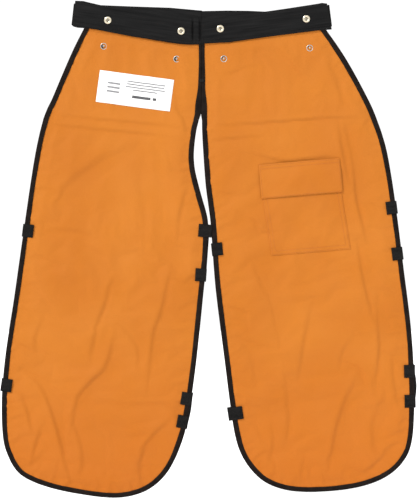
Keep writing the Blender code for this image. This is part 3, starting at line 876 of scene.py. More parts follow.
# The edge tape's cross-section: how far across, how far from front to back, and how far it bulges.
TAPE_SECTION = [
    (1.0, 0.0, 0.5), (0.8, 0.0, 0.0), (0.5, 0.0, -0.35), (0.2, 0.0, -0.1), (0.05, 0.12, 0.0), (0.0, 0.35, 0.0),
    (0.0, 0.65, 0.0), (0.05, 0.88, 0.0), (0.2, 1.0, 0.1), (0.5, 1.0, 0.3), (0.8, 1.0, 0.0), (1.0, 1.0, -0.5),
]


def binding(side):
    """The black tape folded round the leg's whole edge, with its seam."""
    rails = tape_rails(side, CUTS[side])
    tape = strip(f"{side}_edge_binding", rails, BINDING, 0.55)
    seam = rails[0] + 0.22 * (rails[3] - rails[0])
    seam[:, 1] -= 0.45
    thread = stitches(f"{side}_binding_stitches", [seam], BLACK_THREAD)
    return tape, thread


def binding_ends(side):
    """The tape's two ends, which run on up into the waistband and fold over with it."""
    pieces = []
    for end, near in ((0, 1), (-1, -2)):
        cut = CUTS[side]
        step = (cut[end] - cut[near]) / np.linalg.norm(cut[end] - cut[near])
        tall = float(lip_z(side, cut[end][0]) - cut[end][1]) + 5
        path = cut[end] + np.outer(np.linspace(0, tall / step[1], 5), step)
        path = path if end else path[::-1]
        pieces.append(strip("tape", tape_rails(side, path, 0 if end == 0 else len(cut)), BINDING, 0.55))
    ends = joined(f"{side}_binding_ends", pieces)
    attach(ends, f"{side}_waistband_half")


def pads(side):
    """The protective layers: soft sheets with rounded edges and lines of quilting."""
    made = []
    for number in (1, 2, 3):
        node = f"{side}_leg_pad_{number}"
        low, high = cad_box(node)
        outline = cad_outline(node)
        border = resampled(np.vstack([outline, outline[:1]]), 9.0)[:-1]
        flat, faces = filled(border, 13.0)
        x, z = flat[:, 0], flat[:, 1]
        distance = distance_to(border, x, z)[0]
        crown = 0.35 + 0.65 * np.sqrt(np.clip(distance / 9, 0, 1))
        quilt = 0.75 + 0.25 * np.abs(np.sin(np.pi * (x - low[0]) / 45))
        half = (high[1] - low[1]) / 2 * crown * quilt
        middle = (low[1] + high[1]) / 2 + drape(x, z)
        n = len(flat)
        points = np.vstack([np.stack([x, middle - half, z], axis=1), np.stack([x, middle + half, z], axis=1)])
        count = defaultdict(int)
        for f in faces:
            for a, b in zip(f, f[1:] + f[:1]):
                count[(a, b)] += 1
        rim = [(b, a, a + n, b + n) for a, b in count if (b, a) not in count]
        shape = list(faces) + [tuple(i + n for i in reversed(f)) for f in faces] + rim
        pad = outward(new_object(f"{side}_pad_{number}", points, shape, PAD))
        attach(pad, f"{side}_leg")
        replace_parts(pad, node)
        made.append(pad)
    return made


def flat_area(loop):
    x, z = loop[:, 0], loop[:, 1]
    return abs(np.dot(x, np.roll(z, -1)) - np.dot(z, np.roll(x, -1))) / 2 * MM**2


def leg(side):
    """One whole leg's cloth: shell, lining, pads and binding."""
    cut = CUTS[side]
    cloth = shell(side)
    read = surface_reader(cloth)
    thickened(cloth, 0.5)
    back = lining(side)
    tape, thread = binding(side)
    nodes = {
        cloth: (["yoke_shell", "leg_shell"], "orange_shell"),
        back: (["yoke_lining", "leg_lining"], "black_lining"),
        tape: (["yoke_side_binding", "crotch_binding", "leg_binding"], "black_binding"),
    }
    for piece, (replaced, slot) in nodes.items():
        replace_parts(piece, *[f"{side}_{node}" for node in replaced])
    for sheet in (cloth, back):
        flat_area(cut)
    for piece in (cloth, back, tape, thread):
        crosses_hip(piece, side)
    pads(side)
    return read


READ = {side: leg(side) for side in SIDES}


# ---------------------------------------------------------------- webbing

class Local:
    """A flat frame on the chaps: u along a heading, v square to it in the picture plane, and Y unchanged."""

    def __init__(self, heading, origin=(0, 0)):
        heading = np.array(heading, float)
        self.u = heading[[0, -1]] / np.linalg.norm(heading[[0, -1]])
        self.v = np.array([-self.u[1], self.u[0]])
        self.origin = np.array(origin, float)

    def at(self, u, y, v=0.0):
        flat = self.origin + u * self.u + v * self.v
        return (flat[0], y, flat[1])

    def flat(self, u, v):
        """The X and Z of arrays of u and v."""
        return self.origin[0] + u * self.u[0] + v * self.v[0], self.origin[1] + u * self.u[1] + v * self.v[1]

    def of(self, points):
        """Points in millimetres as rows of u, Y and v."""
        flat = points[:, [0, 2]] - self.origin
        return np.stack([flat @ self.u, points[:, 1], flat @ self.v], axis=1)

    @property
    def across(self):
        return np.array([self.v[0], 0, self.v[1]])


def softened(route, reach):
    """A route with its corners rounded over about the given reach, close-stepped where it bends."""
    route = np.asarray(route, float)
    along = cumulative(route)
    fine = np.linspace(0, along[-1], max(8, int(along[-1] / 0.5)))
    dense = np.stack([np.interp(fine, along, route[:, k]) for k in range(3)], axis=1)
    half = max(2, int(reach / 0.5))
    before = 2 * dense[0] - dense[half:0:-1]
    after = 2 * dense[-1] - dense[-2:-half - 2:-1]
    kernel = np.hanning(2 * half + 3)[1:-1]
    kernel /= kernel.sum()
    long = np.vstack([before, dense, after])
    smooth = np.stack([np.convolve(long[:, k], kernel, "valid") for k in range(3)], axis=1)
    step = np.diff(smooth, axis=0)
    length = np.linalg.norm(step, axis=1)
    heading = step / np.maximum(length, 1e-9)[:, None]
    turn = np.degrees(np.arccos(np.clip((heading[1:] * heading[:-1]).sum(axis=1), -1, 1)))
    need = np.concatenate([[0], np.cumsum(length / 6 + np.concatenate([turn, [0]]) / 14)])
    wanted = np.linspace(0, need[-1], max(3, int(need[-1]) + 1))
    return np.stack([np.interp(wanted, need, smooth[:, k]) for k in range(3)], axis=1)


WEB_SECTION = [
    (1, 0), (0.985, 0.62), (0.94, 0.95), (0.5, 1), (0, 0.95), (-0.5, 1), (-0.94, 0.95), (-0.985, 0.62),
    (-1, 0), (-0.985, -0.62), (-0.94, -0.95), (-0.5, -1), (0, -0.95), (0.5, -1), (0.94, -0.95), (0.985, -0.62),
]


def webbing(name, route, across, width, thickness, material=None, reach=2.5):
    """Woven webbing along a route: a flat section with soft selvedges, its width along `across`."""
    path = softened(route, reach)
    tangent = np.gradient(path, axis=0)
    tangent /= np.linalg.norm(tangent, axis=1)[:, None]
    across = np.array(across, float) / np.linalg.norm(across)
    normal = np.cross(tangent, across)
    normal /= np.linalg.norm(normal, axis=1)[:, None]
    section = np.array(WEB_SECTION)
    points = (
        path[:, None, :] + across * section[None, :, :1] * width / 2
        + normal[:, None, :] * section[None, :, 1:] * thickness / 2
    )
    rows, columns = points.shape[:2]
    faces = grid_faces(rows, columns, wrap=True)
    faces += [tuple(range(columns)), tuple((rows - 1) * columns + i for i in reversed(range(columns)))]
    return outward(new_object(name, points.reshape(-1, 3), faces, material or WEBBING))


def box_seam(local, y, u_range, v_range, cross=True):
    """Lines of a box seam, with its diagonals."""
    (a, b), (c, d) = u_range, v_range
    lines = [[(a, c), (b, c), (b, d), (a, d), (a, c)]]
    if cross:
        lines += [[(a, c), (b, d)], [(a, d), (b, c)]]
    return [[local.at(u, y, v) for u, v in line] for line in lines]


def bends_with_cloth(local, route, weight):
    """A route set back by the cloth's drape, in full at the edge and less along the run."""
    moved = []
    for (u, y), share in zip(route, weight):
        x, z = local.flat(u, 0.0)
        moved.append(local.at(u, y + share * float(drape(x, z))))
    return moved


SLACK = {"left_calf": 5.0}  # how far a single tab's fold stands out past the edge tape
TAB_SLACK = {"right_thigh": (4.5, 0.0)}  # the same for a loop's upper and lower tab
RAIL_BOW = {"left_calf": 5.0, "right_calf": 2.0}  # how far a loop's rail bows out between its tabs


def leg_strap(side, name):
    """One strap behind a leg: the long strap, the loop with its two tabs, and the seams that hold them."""
    release = JOINTS[f"{name}_release"]["axis"]
    strap = cad_points(f"{name}_strap")
    local = Local((-release[0], -release[2]))
    measured = local.of(strap)
    local.origin = measured[:, 0].min() * local.u + measured[:, 2].mean() * local.v
    measured = local.of(strap)
    width, thickness = np.ptp(measured[:, 2]), np.ptp(measured[measured[:, 1] > 5][:, 1])
    front, back = measured[:, 1].min() + thickness / 2, measured[:, 1].max() - thickness / 2
    tab_end = measured[measured[:, 1] < 0][:, 0].max()
    slack = SLACK.get(name, 0)
    edge, run_end = thickness / 2 - slack, measured[:, 0].max()
    tab_end += 0.5 * slack
    share = smoothstep(1.0, 0.0, np.linspace(0, 1, 5))
    run = np.linspace(edge, run_end, 5)
    sway = [0, 0.5, -0.25, 0.15, 0]
    route = [(tab_end, front), (edge, front), *[(u, back + s) for u, s in zip(run, sway)]]
    points = bends_with_cloth(local, route, [1, 1, *share])
    made = [webbing(f"{name}_strap_webbing", points, local.across, width, thickness)]
    set_back = float(drape(*local.flat(tab_end / 2, 0)))
    seams = box_seam(local, front - thickness / 2 - 0.1 + set_back, (edge + 3.5, tab_end - 2.5), (-9.5, 9.5))

    loop, loop_seams = strap_loop(side, name, width, thickness)
    female = local.of(cad_points(f"{name}_buckle_female"))
    bar = female[:, 0].max() - 2
    middle = (female[:, 1].min() + female[:, 1].max()) / 2
    sewn = bar + 30
    reach = middle - back
    tether = [
        (sewn, back), (bar - 6.6, back + 0.1), (bar - 6.6, middle + reach), (bar + 6, middle + reach),
        (bar + 17, back + 2.0), (sewn - 3, back + 1.6),
    ]
    tether = [local.at(u, y) for u, y in tether]
    tether_webbing = webbing(f"{name}_tether", tether, local.across, width - 1.2, 1.3)
    loop = joined(f"{name}_loop_webbing", [loop, tether_webbing])
    seams += loop_seams + box_seam(local, back + 2.35, (bar + 17.5, sewn - 5), (-9, 9))

    male = local.of(cad_points(f"{name}_buckle_male"))
    root = male[:, 0].min()
    under, over = male[:, 1].min() - 0.62, male[:, 1].max() + 0.62
    threaded = [
        (root - 22, under), (root + 6.2, under), (root + 6.2, over), (root + 13.8, over), (root + 13.8, under),
        (root + 22, under),
    ]
    threaded = [local.at(u, y) for u, y in threaded]
    wrap = webbing(f"{name}_threading", threaded, local.across, width - 0.6, 1.1, reach=1.6)
    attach(wrap, f"{name}_prongs")
    thread = stitches(f"{name}_seams", seams, BLACK_THREAD, pitch=2.8)
    for piece in (made[0], loop, thread):
        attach(piece, f"{side}_leg")
    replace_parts(made[0], f"{name}_strap")
    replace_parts(loop, f"{name}_loop")
    buckle_details(name, local, width)


def strap_loop(side, name, width, thickness):
    """The folded webbing loop at a leg's other edge: a rail behind it and two tabs wrapped round to the front."""
    points = cad_points(f"{name}_loop")
    front_faces = points[points[:, 1] < points[:, 1].min() + 0.1]
    upper = front_faces[front_faces[:, 2] > front_faces[:, 2].mean()]
    lower = front_faces[front_faces[:, 2] <= front_faces[:, 2].mean()]
    centres = [(group.min(axis=0) + group.max(axis=0)) / 2 for group in (upper, lower)]
    along = (centres[0] - centres[1])[[0, 2]]
    local = Local((along[1], -along[0]))
    leg_middle = EDGES[side].mean(axis=0)
    if (leg_middle - centres[0][[0, 2]]) @ local.u < 0:
        local = Local((-along[1], along[0]))
    all_tabs = local.of(front_faces)
    local.origin = all_tabs[:, 0].min() * local.u + (all_tabs[:, 2].min() + all_tabs[:, 2].max()) / 2 * local.v
    front = points[:, 1].min() + thickness / 2
    pieces, seams = [], []
    for group, slack in zip((upper, lower), TAB_SLACK.get(name, (0, 0))):
        tab = local.of(group)
        v = (tab[:, 2].min() + tab[:, 2].max()) / 2
        end, edge = tab[:, 0].max(), thickness / 2 - slack
        back = 10.4
        set_back = float(drape(*local.flat(end / 2, v)))
        route = [(end, front), (edge, front), (edge, back), (edge + 18, back)]
        pieces.append(webbing(
            f"{name}_tab", [local.at(u, y + set_back, v) for u, y in route], local.across, width, thickness
        ))
        seams += box_seam(
            Local(local.u, local.origin + v * local.v), front - thickness / 2 - 0.1 + set_back, (edge + 3.5, end - 2.5),
            (-9.5, 9.5),
        )
    half = np.ptp(all_tabs[:, 2]) / 2
    middle = (thickness + width) / 2 - 0.6
    bow = RAIL_BOW.get(name, 0)
    route = [
        local.at(middle - bow * out, 10.55 + 0.2 * k, v)
        for v, k, out in ((-half, 0, 0), (-half / 3, 1, 0.8), (0, 0, 1), (half / 3, -1, 0.8), (half, 0, 0))
    ]
    pieces.append(webbing(f"{name}_rail", route, (local.u[0], 0, local.u[1]), width - 1, 1.5))
    return joined(f"{name}_loop_webbing", pieces), seams


def rounded_cad(node, width=0.6):
    """Shows a moulded CAD part with soft edges and its own material."""
    obj = frame["nodes"][node]
    weld = obj.modifiers.new("weld", "WELD")
    weld.merge_threshold = 0.02 * MM
    bevel = obj.modifiers.new("edges", "BEVEL")
    bevel.width, bevel.segments = width * MM, 2
    bevel.limit_method, bevel.angle_limit = "ANGLE", math.radians(40)
    for slot in obj.material_slots:
        slot.link = "OBJECT"
        slot.material = PLASTIC


def ribs(name, local, lines, y, radius, body):
    """Low moulded grip ribs: rounded bars from one (u, v) to another."""
    pieces = []
    for (u, v), (u2, v2) in lines:
        across = local.u * (v2 != v) + local.v * (v2 == v)
        ends = [local.at(u, y, v), local.at(u2, y, v2)]
        pieces.append(webbing(name, ends, (across[0], 0, across[1]), radius * 2, radius, PLASTIC, reach=1))
    rib = joined(name, pieces)
    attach(rib, body)
    return rib


def buckle_details(name, local, width):
    """Soft edges on both buckle halves, and grip ribs on the socket's back face."""
    rounded_cad(f"{name}_buckle_female")
    rounded_cad(f"{name}_buckle_male")
    female = local.of(cad_points(f"{name}_buckle_female"))
    face, mouth = female[:, 1].max(), female[:, 0].min()
    side = RECORD_BODY[f"{name}_buckle_female"]
    lines = [((mouth + 3.0 + k * 2.2, -width / 4), (mouth + 3.0 + k * 2.2, width / 4)) for k in range(3)]
    ribs(f"{name}_socket_ribs", local, lines, face + 0.15, 0.5, side)


RECORD_BODY = {node: body for body, nodes in RECORD["behaviour"]["bodies"].items() for node in nodes}


# ---------------------------------------------------------------- waistband and belt

def band_top(side):
    """The waistband's upper edge as flat points, from the outer end to the centre."""
    outline = cad_outline(f"{side}_waistband")
    low = fold_z(side, outline[:, 0])
    top = outline[outline[:, 1] > low + 25]
    order = np.argsort(top[:, 0] * CENTRE_SIGN[side])
    return top[order]


TUCK = (-15.5, -5.0)  # the pinched fold at the centre of the waistband, between two valleys


def band_relief(x, share):
    """How far the band's front stands forward: slack waves, and the tuck with its gathers at the centre."""
    waves = 0.6 * grain(x, share * 50, 46, 12.5) + 0.35 * grain(x, share * 50, 19, 4.4)
    sag = 0.5 * np.sin(x / 31.0) * np.exp(-(((share - 0.93) / 0.12) ** 2))
    tall = smoothstep(0.04, 0.22, share) * (1 - smoothstep(0.62, 0.78, share))
    middle = sum(TUCK) / 2
    across = x - middle
    ridge = 3.2 * np.exp(-((across / 5.2) ** 4)) - 0.9 * np.exp(-((across / 1.3) ** 2))
    valleys = sum(4.6 * np.exp(-(((x - line) / 1.9) ** 2)) for line in (TUCK[0] - 1.6, TUCK[1] + 1.6))
    near = np.exp(-((across / 26.0) ** 2))
    arcs = 1.1 * np.sin((share * 52 + (across / 10.0) ** 2) / 1.7) * near * smoothstep(0.55, 0.72, share)
    spread = 0.9 * np.sin(across / 3.1) * near * smoothstep(0.35, 0.0, share)
    return waves + sag + (ridge - valleys) * tall + arcs + spread


def waistband(side):
    """Half of the waistband: webbing folded over at the top, open below over the cloth's top edge."""
    top = band_top(side)
    sign = CENTRE_SIGN[side]
    ends = np.array(BAND_ENDS[side], float)
    x = np.arange(ends[0, 0], 0, 1.6 * sign)
    x[-1] = 0.45 * sign * (1 if side == "right" else 0.4)
    order = np.argsort(top[:, 0])
    high_z = np.interp(x, top[order][:, 0], top[order][:, 1])
    inner_x = np.linspace(EDGES[side][0][0] + 4 * sign, 0, 60)
    low = np.vstack([ends, np.stack([inner_x, lip_z(side, inner_x)], axis=1)])
    order = np.argsort(low[:, 0])
    low_z = np.interp(x, low[order][:, 0], low[order][:, 1])
    near_end = np.clip(1 - np.abs(x - x[0]) / 24, 0, 1)
    half = cad_box(f"{side}_waistband")[1][1] - 0.6

    def row(share, y):
        slant = (BAND_END_TOP[side] - ends[0, 0]) * share * near_end
        return np.stack([x + slant, y, low_z + (high_z - low_z) * share], axis=1)

    shares = [0.0, 0.04, 0.1, 0.18, 0.27, 0.36, 0.45, 0.54, 0.63, 0.71, 0.78, 0.84, 0.89, 0.94, 0.975]
    rails = []
    for share in shares:
        depth = half * (0.66 + 0.34 * math.sin(math.pi * min(share * 1.6, 0.5)))
        ease = smoothstep(0, 0.1, share) * (1 - smoothstep(0.9, 1.02, share))
        rails.append(row(share, -depth - band_relief(x, np.full(len(x), share)) * ease))
    for angle in (35, 90, 145):
        turned = math.radians(angle)
        rail = row(1.0, np.full(len(x), -half * 0.8 * math.cos(turned)))
        rail[:, 2] -= 0.6 - 0.6 * math.sin(turned)
        rails.append(rail)
    for share in reversed(shares[::2]):
        waves = 0.35 * grain(x, np.full(len(x), share * 50), 33, 22.5)
        rails.append(row(share, half * (0.7 + 0.3 * min(1, share * 4)) + (waves - 0.3) * min(1, share * 4)))
    band = strip(f"{side}_waistband_webbing", rails, BANDS[side], 0.9)
    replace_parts(band, f"{side}_waistband", *(["centre_tuck"] if side == "right" else []))
    seams = [rails[1] + [0, -0.7, 0.3], (rails[3] + rails[2]) / 2 + [0, -0.7, 0]]
    thread = stitches(f"{side}_band_seam", seams, BLACK_THREAD, pitch=3.4)
    for piece in (band, thread):
        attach(piece, f"{side}_waistband_half")


def fold_cloth(side):
    """The strip of shell cloth behind the fold line, which runs up into the band."""
    outer, inner = EDGES[side][0][0], EDGES[side][-1][0]
    sign = CENTRE_SIGN[side]
    x = np.linspace(outer + 4 * sign, inner - 1.5 * sign, 90)
    rails = []
    for rise in np.linspace(-14, 14, 15):
        squeeze = 9 * sign * smoothstep(0, 14, rise) * np.exp(-np.abs(x - outer) / 20)
        y = np.full(len(x), 0.5 + 0.1 * abs(rise) / 14)
        rails.append(np.stack([x + squeeze, y, fold_z(side, x) + rise], axis=1))
    cloth = strip(f"{side}_fold_cloth", rails, ORANGE, 0.4)
    cloth.data.materials.append(LINING)
    for face in cloth.data.polygons:
        face.material_index = int(face.normal.y > 0.3)
    slope = fold_line(side)[1]
    base = Vector((0, 0, float(fold_z(side, 0)) * MM))
    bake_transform(cloth)
    binding_ends(side)


def belt_local(side):
    """The belt's frame: u runs from the band's outer end towards the centre, level with the belt."""
    run = cad_points(f"{side}_belt_run")
    centred = run[:, [0, 2]] - run[:, [0, 2]].mean(axis=0)
    axis = np.linalg.svd(centred)[2][0]
    axis = axis * np.sign(axis[0]) * CENTRE_SIGN[side]
    local = Local(axis)
    tail = local.of(cad_points(f"{side}_belt_tail"))
    local.origin = tail[:, 0].min() * local.u + (tail[:, 2].min() + tail[:, 2].max()) / 2 * local.v
    return local


def belt(side):
    """The belt on one side: the run inside the band, and the tail behind it with its half of the buckle."""
    local = belt_local(side)
    width = np.ptp(local.of(cad_points(f"{side}_belt_run"))[:, 2])
    tail = local.of(cad_points(f"{side}_belt_tail"))
    back = tail[:, 1].max() - 0.7
    run_end = local.of(cad_points(f"{side}_belt_run"))[:, 0]
    wrap_u = 3.4  # where the belt comes out of the band's end and turns back
    run = webbing(
        f"{side}_belt_run_webbing", [local.at(wrap_u, 0), local.at(run_end.max(), 0)], local.across, width - 1, 1.3
    )
    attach(run, f"{side}_waistband_half")
    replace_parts(run, f"{side}_belt_run")
    end = tail[:, 0].max()
    if side == "right":
        female = local.of(cad_points("waist_buckle_female"))
        bar = female[:, 0].min() + 2
        middle = (female[:, 1].min() + female[:, 1].max()) / 2
        over = 2 * middle - back - 2.4
        route = [
            (wrap_u, 0.4), (wrap_u, back), (end / 2, back + 0.5), (bar - 10, back + 0.6), (bar + 7.0, back + 1.4),
            (bar + 7.0, over), (bar - 7, over), (bar - 20, back + 3.2), (bar - 40, back + 1.9),
        ]
        seam_y, seam_u = back + 2.75, (bar - 39, bar - 21)
    else:
        route = [(wrap_u, 0.4), (wrap_u, back), (end / 2, back + 0.3), (end, back)]
        seam_y, seam_u = back + 0.85, (end - 9, end - 3)
    route = [local.at(u, y) for u, y in route]
    strap = webbing(f"{side}_belt_tail_webbing", route, local.across, width, 1.35, reach=1.8)
    thread = stitches(
        f"{side}_belt_seam", box_seam(local, seam_y, seam_u, (-width / 2 + 4, width / 2 - 4)), BLACK_THREAD, pitch=2.8,
        lift=-0.25,
    )
    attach(thread, f"{side}_belt")
    turn = [Vector(local.at(wrap_u, y)) * MM for y in (0.8, back - 0.75)]
    turn[0]
    turn[1]
    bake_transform(strap)
    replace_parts(strap, f"{side}_belt_tail")
    if side == "left":
        male = local.of(cad_points("waist_buckle_male"))
        root = male[:, 0].min()
        under, over = male[:, 1].min() - 0.62, male[:, 1].max() + 0.65
        route = [
            (root - 34, under), (root + 6.2, under), (root + 6.2, over), (root + 13.8, over), (root + 13.8, under),
            (root + 26, under),
        ]
        wrap = webbing(
            "waist_buckle_threading", [local.at(u, y) for u, y in route], local.across, width - 0.8, 1.1, reach=1.6
        )
        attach(wrap, "waist_buckle_prongs")
        rounded_cad("waist_buckle_male", 0.8)
    else:
        rounded_cad("waist_buckle_female", 0.8)


# ---------------------------------------------------------------- snaps

def spring_bars(name, centre, material, reach, spacing, radius):
    """The two spring wires across a snap socket's opening."""
    pieces = []
    for dz in (-spacing, spacing):
        wire = [
            (centre[0] + reach * t, centre[1], centre[2] + dz + 0.5 * math.sin(2.2 * t)) for t in np.linspace(-1, 1, 7)
        ]
        pieces.append(webbing(name, wire, (0, 1, 0), radius * 2, radius * 2, material, reach=1))
    return joined(name, pieces)


# Snap profiles: the radius as a share of the snap's own, and the depth in front of its seat.
SOCKET_RING = (
    (0.8, -0.4), (0.97, 0.0), (1, 0.7), (0.97, 1.3), (0.88, 1.9), (0.74, 2.25), (0.6, 2.2), (0.5, 1.8), (0.44, 1.2),
    (0.42, 0.4), (0.3, 0.2),
)
SOCKET_WELL = ((0.43, 0.0), (0.43, 0.9), (0.2, 0.95))
STUD_FLANGE = (
    (0.9, -0.2), (1, 0.15), (1, 0.55), (0.95, 0.95), (0.87, 1.15), (0.79, 1.05), (0.74, 0.75), (0.72, 0.3),
)
STUD_DISH = ((0.74, 0.2), (0.72, 0.5), (0.3, 0.4))
STUD_POST = ((0.22, 0.3), (0.23, 1.6), (0.28, 2.6), (0.28, 3.3), (0.23, 3.8), (0.14, 3.9), (0.08, 3.4))


def turned_part(name, profile, radius, centre, material):
    return lathe(name, [(radius * share, depth) for share, depth in profile], centre, material)


def snaps():
    for side in SIDES:
        for number in (1, 2):
            node = f"{side}_snap_socket_{number}"
            low, high = cad_box(node)
            centre = ((low[0] + high[0]) / 2, high[1] + 0.3, (low[2] + high[2]) / 2)
            r = (high[0] - low[0]) / 2
            ring = turned_part(node + "_ring", SOCKET_RING, r, centre, BRASS)
            # The well carries the painted shade of the socket's hollow.
            shaded_well = turned_part(node + "_well", SOCKET_WELL, r, centre, SOCKET_WELL_SHADE)
            mouth = (centre[0], centre[1] - 1.35, centre[2])
            bars = spring_bars(node + "_spring", mouth, BRASS, r * 0.4, r * 0.15, 0.28)
            piece = joined(node + "_snap", [ring, shaded_well, bars])
            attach(piece, f"{side}_waistband_half")
            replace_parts(piece, node)

            node = f"{side}_snap_stud_{number}"
            low, high = cad_box(node)
            x, z = (low[0] + high[0]) / 2, (low[2] + high[2]) / 2
            y = float(READ[side](x, z)[0])
            r = (high[0] - low[0]) / 2 * 1.2
            centre = (x, min(high[1], y) + 0.25, z)
            ring = turned_part(node + "_flange", STUD_FLANGE, r, centre, STEEL)
            # The dish round the post carries the painted shade of that hollow.
            shaded_dish = turned_part(node + "_dish", STUD_DISH, r, centre, STUD_RECESS_SHADE)
            post = turned_part(node + "_post", STUD_POST, r, centre, STEEL)
            piece = joined(node + "_snap", [ring, shaded_dish, post])
            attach(piece, "yoke")
            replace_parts(piece, node)


# ---------------------------------------------------------------- label and bar tack

def label():
    """The sewn white label, with plain bars where printing would be."""
    outline = cad_outline("label")
    sides = np.roll(outline, -1, axis=0) - outline
    long = sides[np.argmax(np.linalg.norm(sides, axis=1))]
    local = Local(long * np.sign(long[0]), outline.mean(axis=0))
    half_u = np.abs((outline - local.origin) @ local.u).max()
    half_v = np.abs((outline - local.origin) @ local.v).max()

    def surface(u, v, out):
        x, z = local.flat(u, v)
        y = READ["right"](x, z) - 0.65 - out
        y += 0.18 * grain(u, v, 18, 3.3)
        return np.stack([x, y, z], axis=1)

    u, v = np.meshgrid(np.linspace(-half_u, half_u, 50), np.linspace(-half_v, half_v, 24), indexing="ij")
    points = surface(u.ravel(), v.ravel(), 0.0)
    cloth = facing(new_object("label_cloth", points, grid_faces(50, 24), LABEL), (0, -1, 0))
    thickened(cloth, 0.35)
    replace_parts(cloth, "label")

    def band(name, inner, outer, material, out=0.4):
        inner, outer = np.array(inner, float), np.array(outer, float)
        rails = [surface(r[:, 0], r[:, 1], out) for r in (inner, outer)]
        obj = new_object(name, np.array(rails).reshape(-1, 3), grid_faces(2, len(inner)), material)
        return thickened(facing(obj, (0, -1, 0)), 0.1)

    def bar(name, start, end, v, height, material):
        u = np.linspace(start, end, max(2, int(abs(end - start) / 3)))
        low, high = (np.stack([u, u * 0 + v + side * height / 2], 1) for side in (-1, 1))
        return band(name, low, high, material)

    ink = [bar(f"label_short_{name}", -54, -30, v, 3.2, GREY_INK) for name, v in (("a", 9), ("b", 1), ("c", -7))]
    lines = (("a", -17, 57, 16.8), ("b", -17, 55.5, 11.6), ("c", -18.5, 57.5, 6.2), ("d", -4, 43, 0.9))
    for name, start, end, v in lines:
        ink.append(bar(f"label_line_{name}", start, end, v, 2.1, GREY_INK))
    ink += [bar("label_bar", -4, 32, -12, 5.0, INK), bar("label_block", 36.5, 43, -12, 5.0, INK)]
    inset = [(-half_u + 8.5, -half_v + 8.0), (half_u - 8.5, half_v - 8.0)]
    (u0, v0), (u1, v1) = inset
    border = [
        bar("label_edge_low", u0, u1, v0, 1.0, TINT), bar("label_edge_high", u0, u1, v1, 1.0, TINT),
    ]
    for x in (u0, u1):
        v = np.linspace(v0, v1, 16)
        left, right = (np.stack([v * 0 + x + shift, v], 1) for shift in (-0.5, 0.5))
        border.append(band("label_edge_side", left, right, TINT))
    marks = joined("label_marks", ink + border)
    m = 2.4
    u, v = half_u - m, half_v - m
    loop = [(-u, -v), (u, -v), (u, v), (-u, v)]
    edge = resampled_straight(loop + loop[:1], 2.0)
    seam = surface(edge[:, 0], edge[:, 1], 0.3)
    thread = stitches("label_seam", [seam], WHITE_THREAD, pitch=2.8)
    for piece in (cloth, marks, thread):
        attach(piece, "yoke")


def resampled_straight(points, step):
    p = np.asarray(points, float)
    along = cumulative(p)
    wanted = np.linspace(0, along[-1], max(2, int(along[-1] / step)))
    return np.stack([np.interp(wanted, along, p[:, k]) for k in range(p.shape[1])], axis=1)


def bar_tack():
    """A dense row of stitches where the centre tape ends."""
    low, high = cad_box("crotch_bar_tack")
    lines = []
    for z in np.linspace(low[2], high[2], 8):
        lines.append([(low[0], low[1] + 0.5, z), (high[0], low[1] + 0.5, z + 0.35)])
    pitch = high[0] - low[0] - 1
    tack = stitches("centre_bar_tack", lines, BLACK_THREAD, pitch=pitch, gap=0.1, radius=0.36, lift=0.3)
    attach(tack, "yoke")
    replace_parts(tack, "crotch_bar_tack")


# ---------------------------------------------------------------- pocket

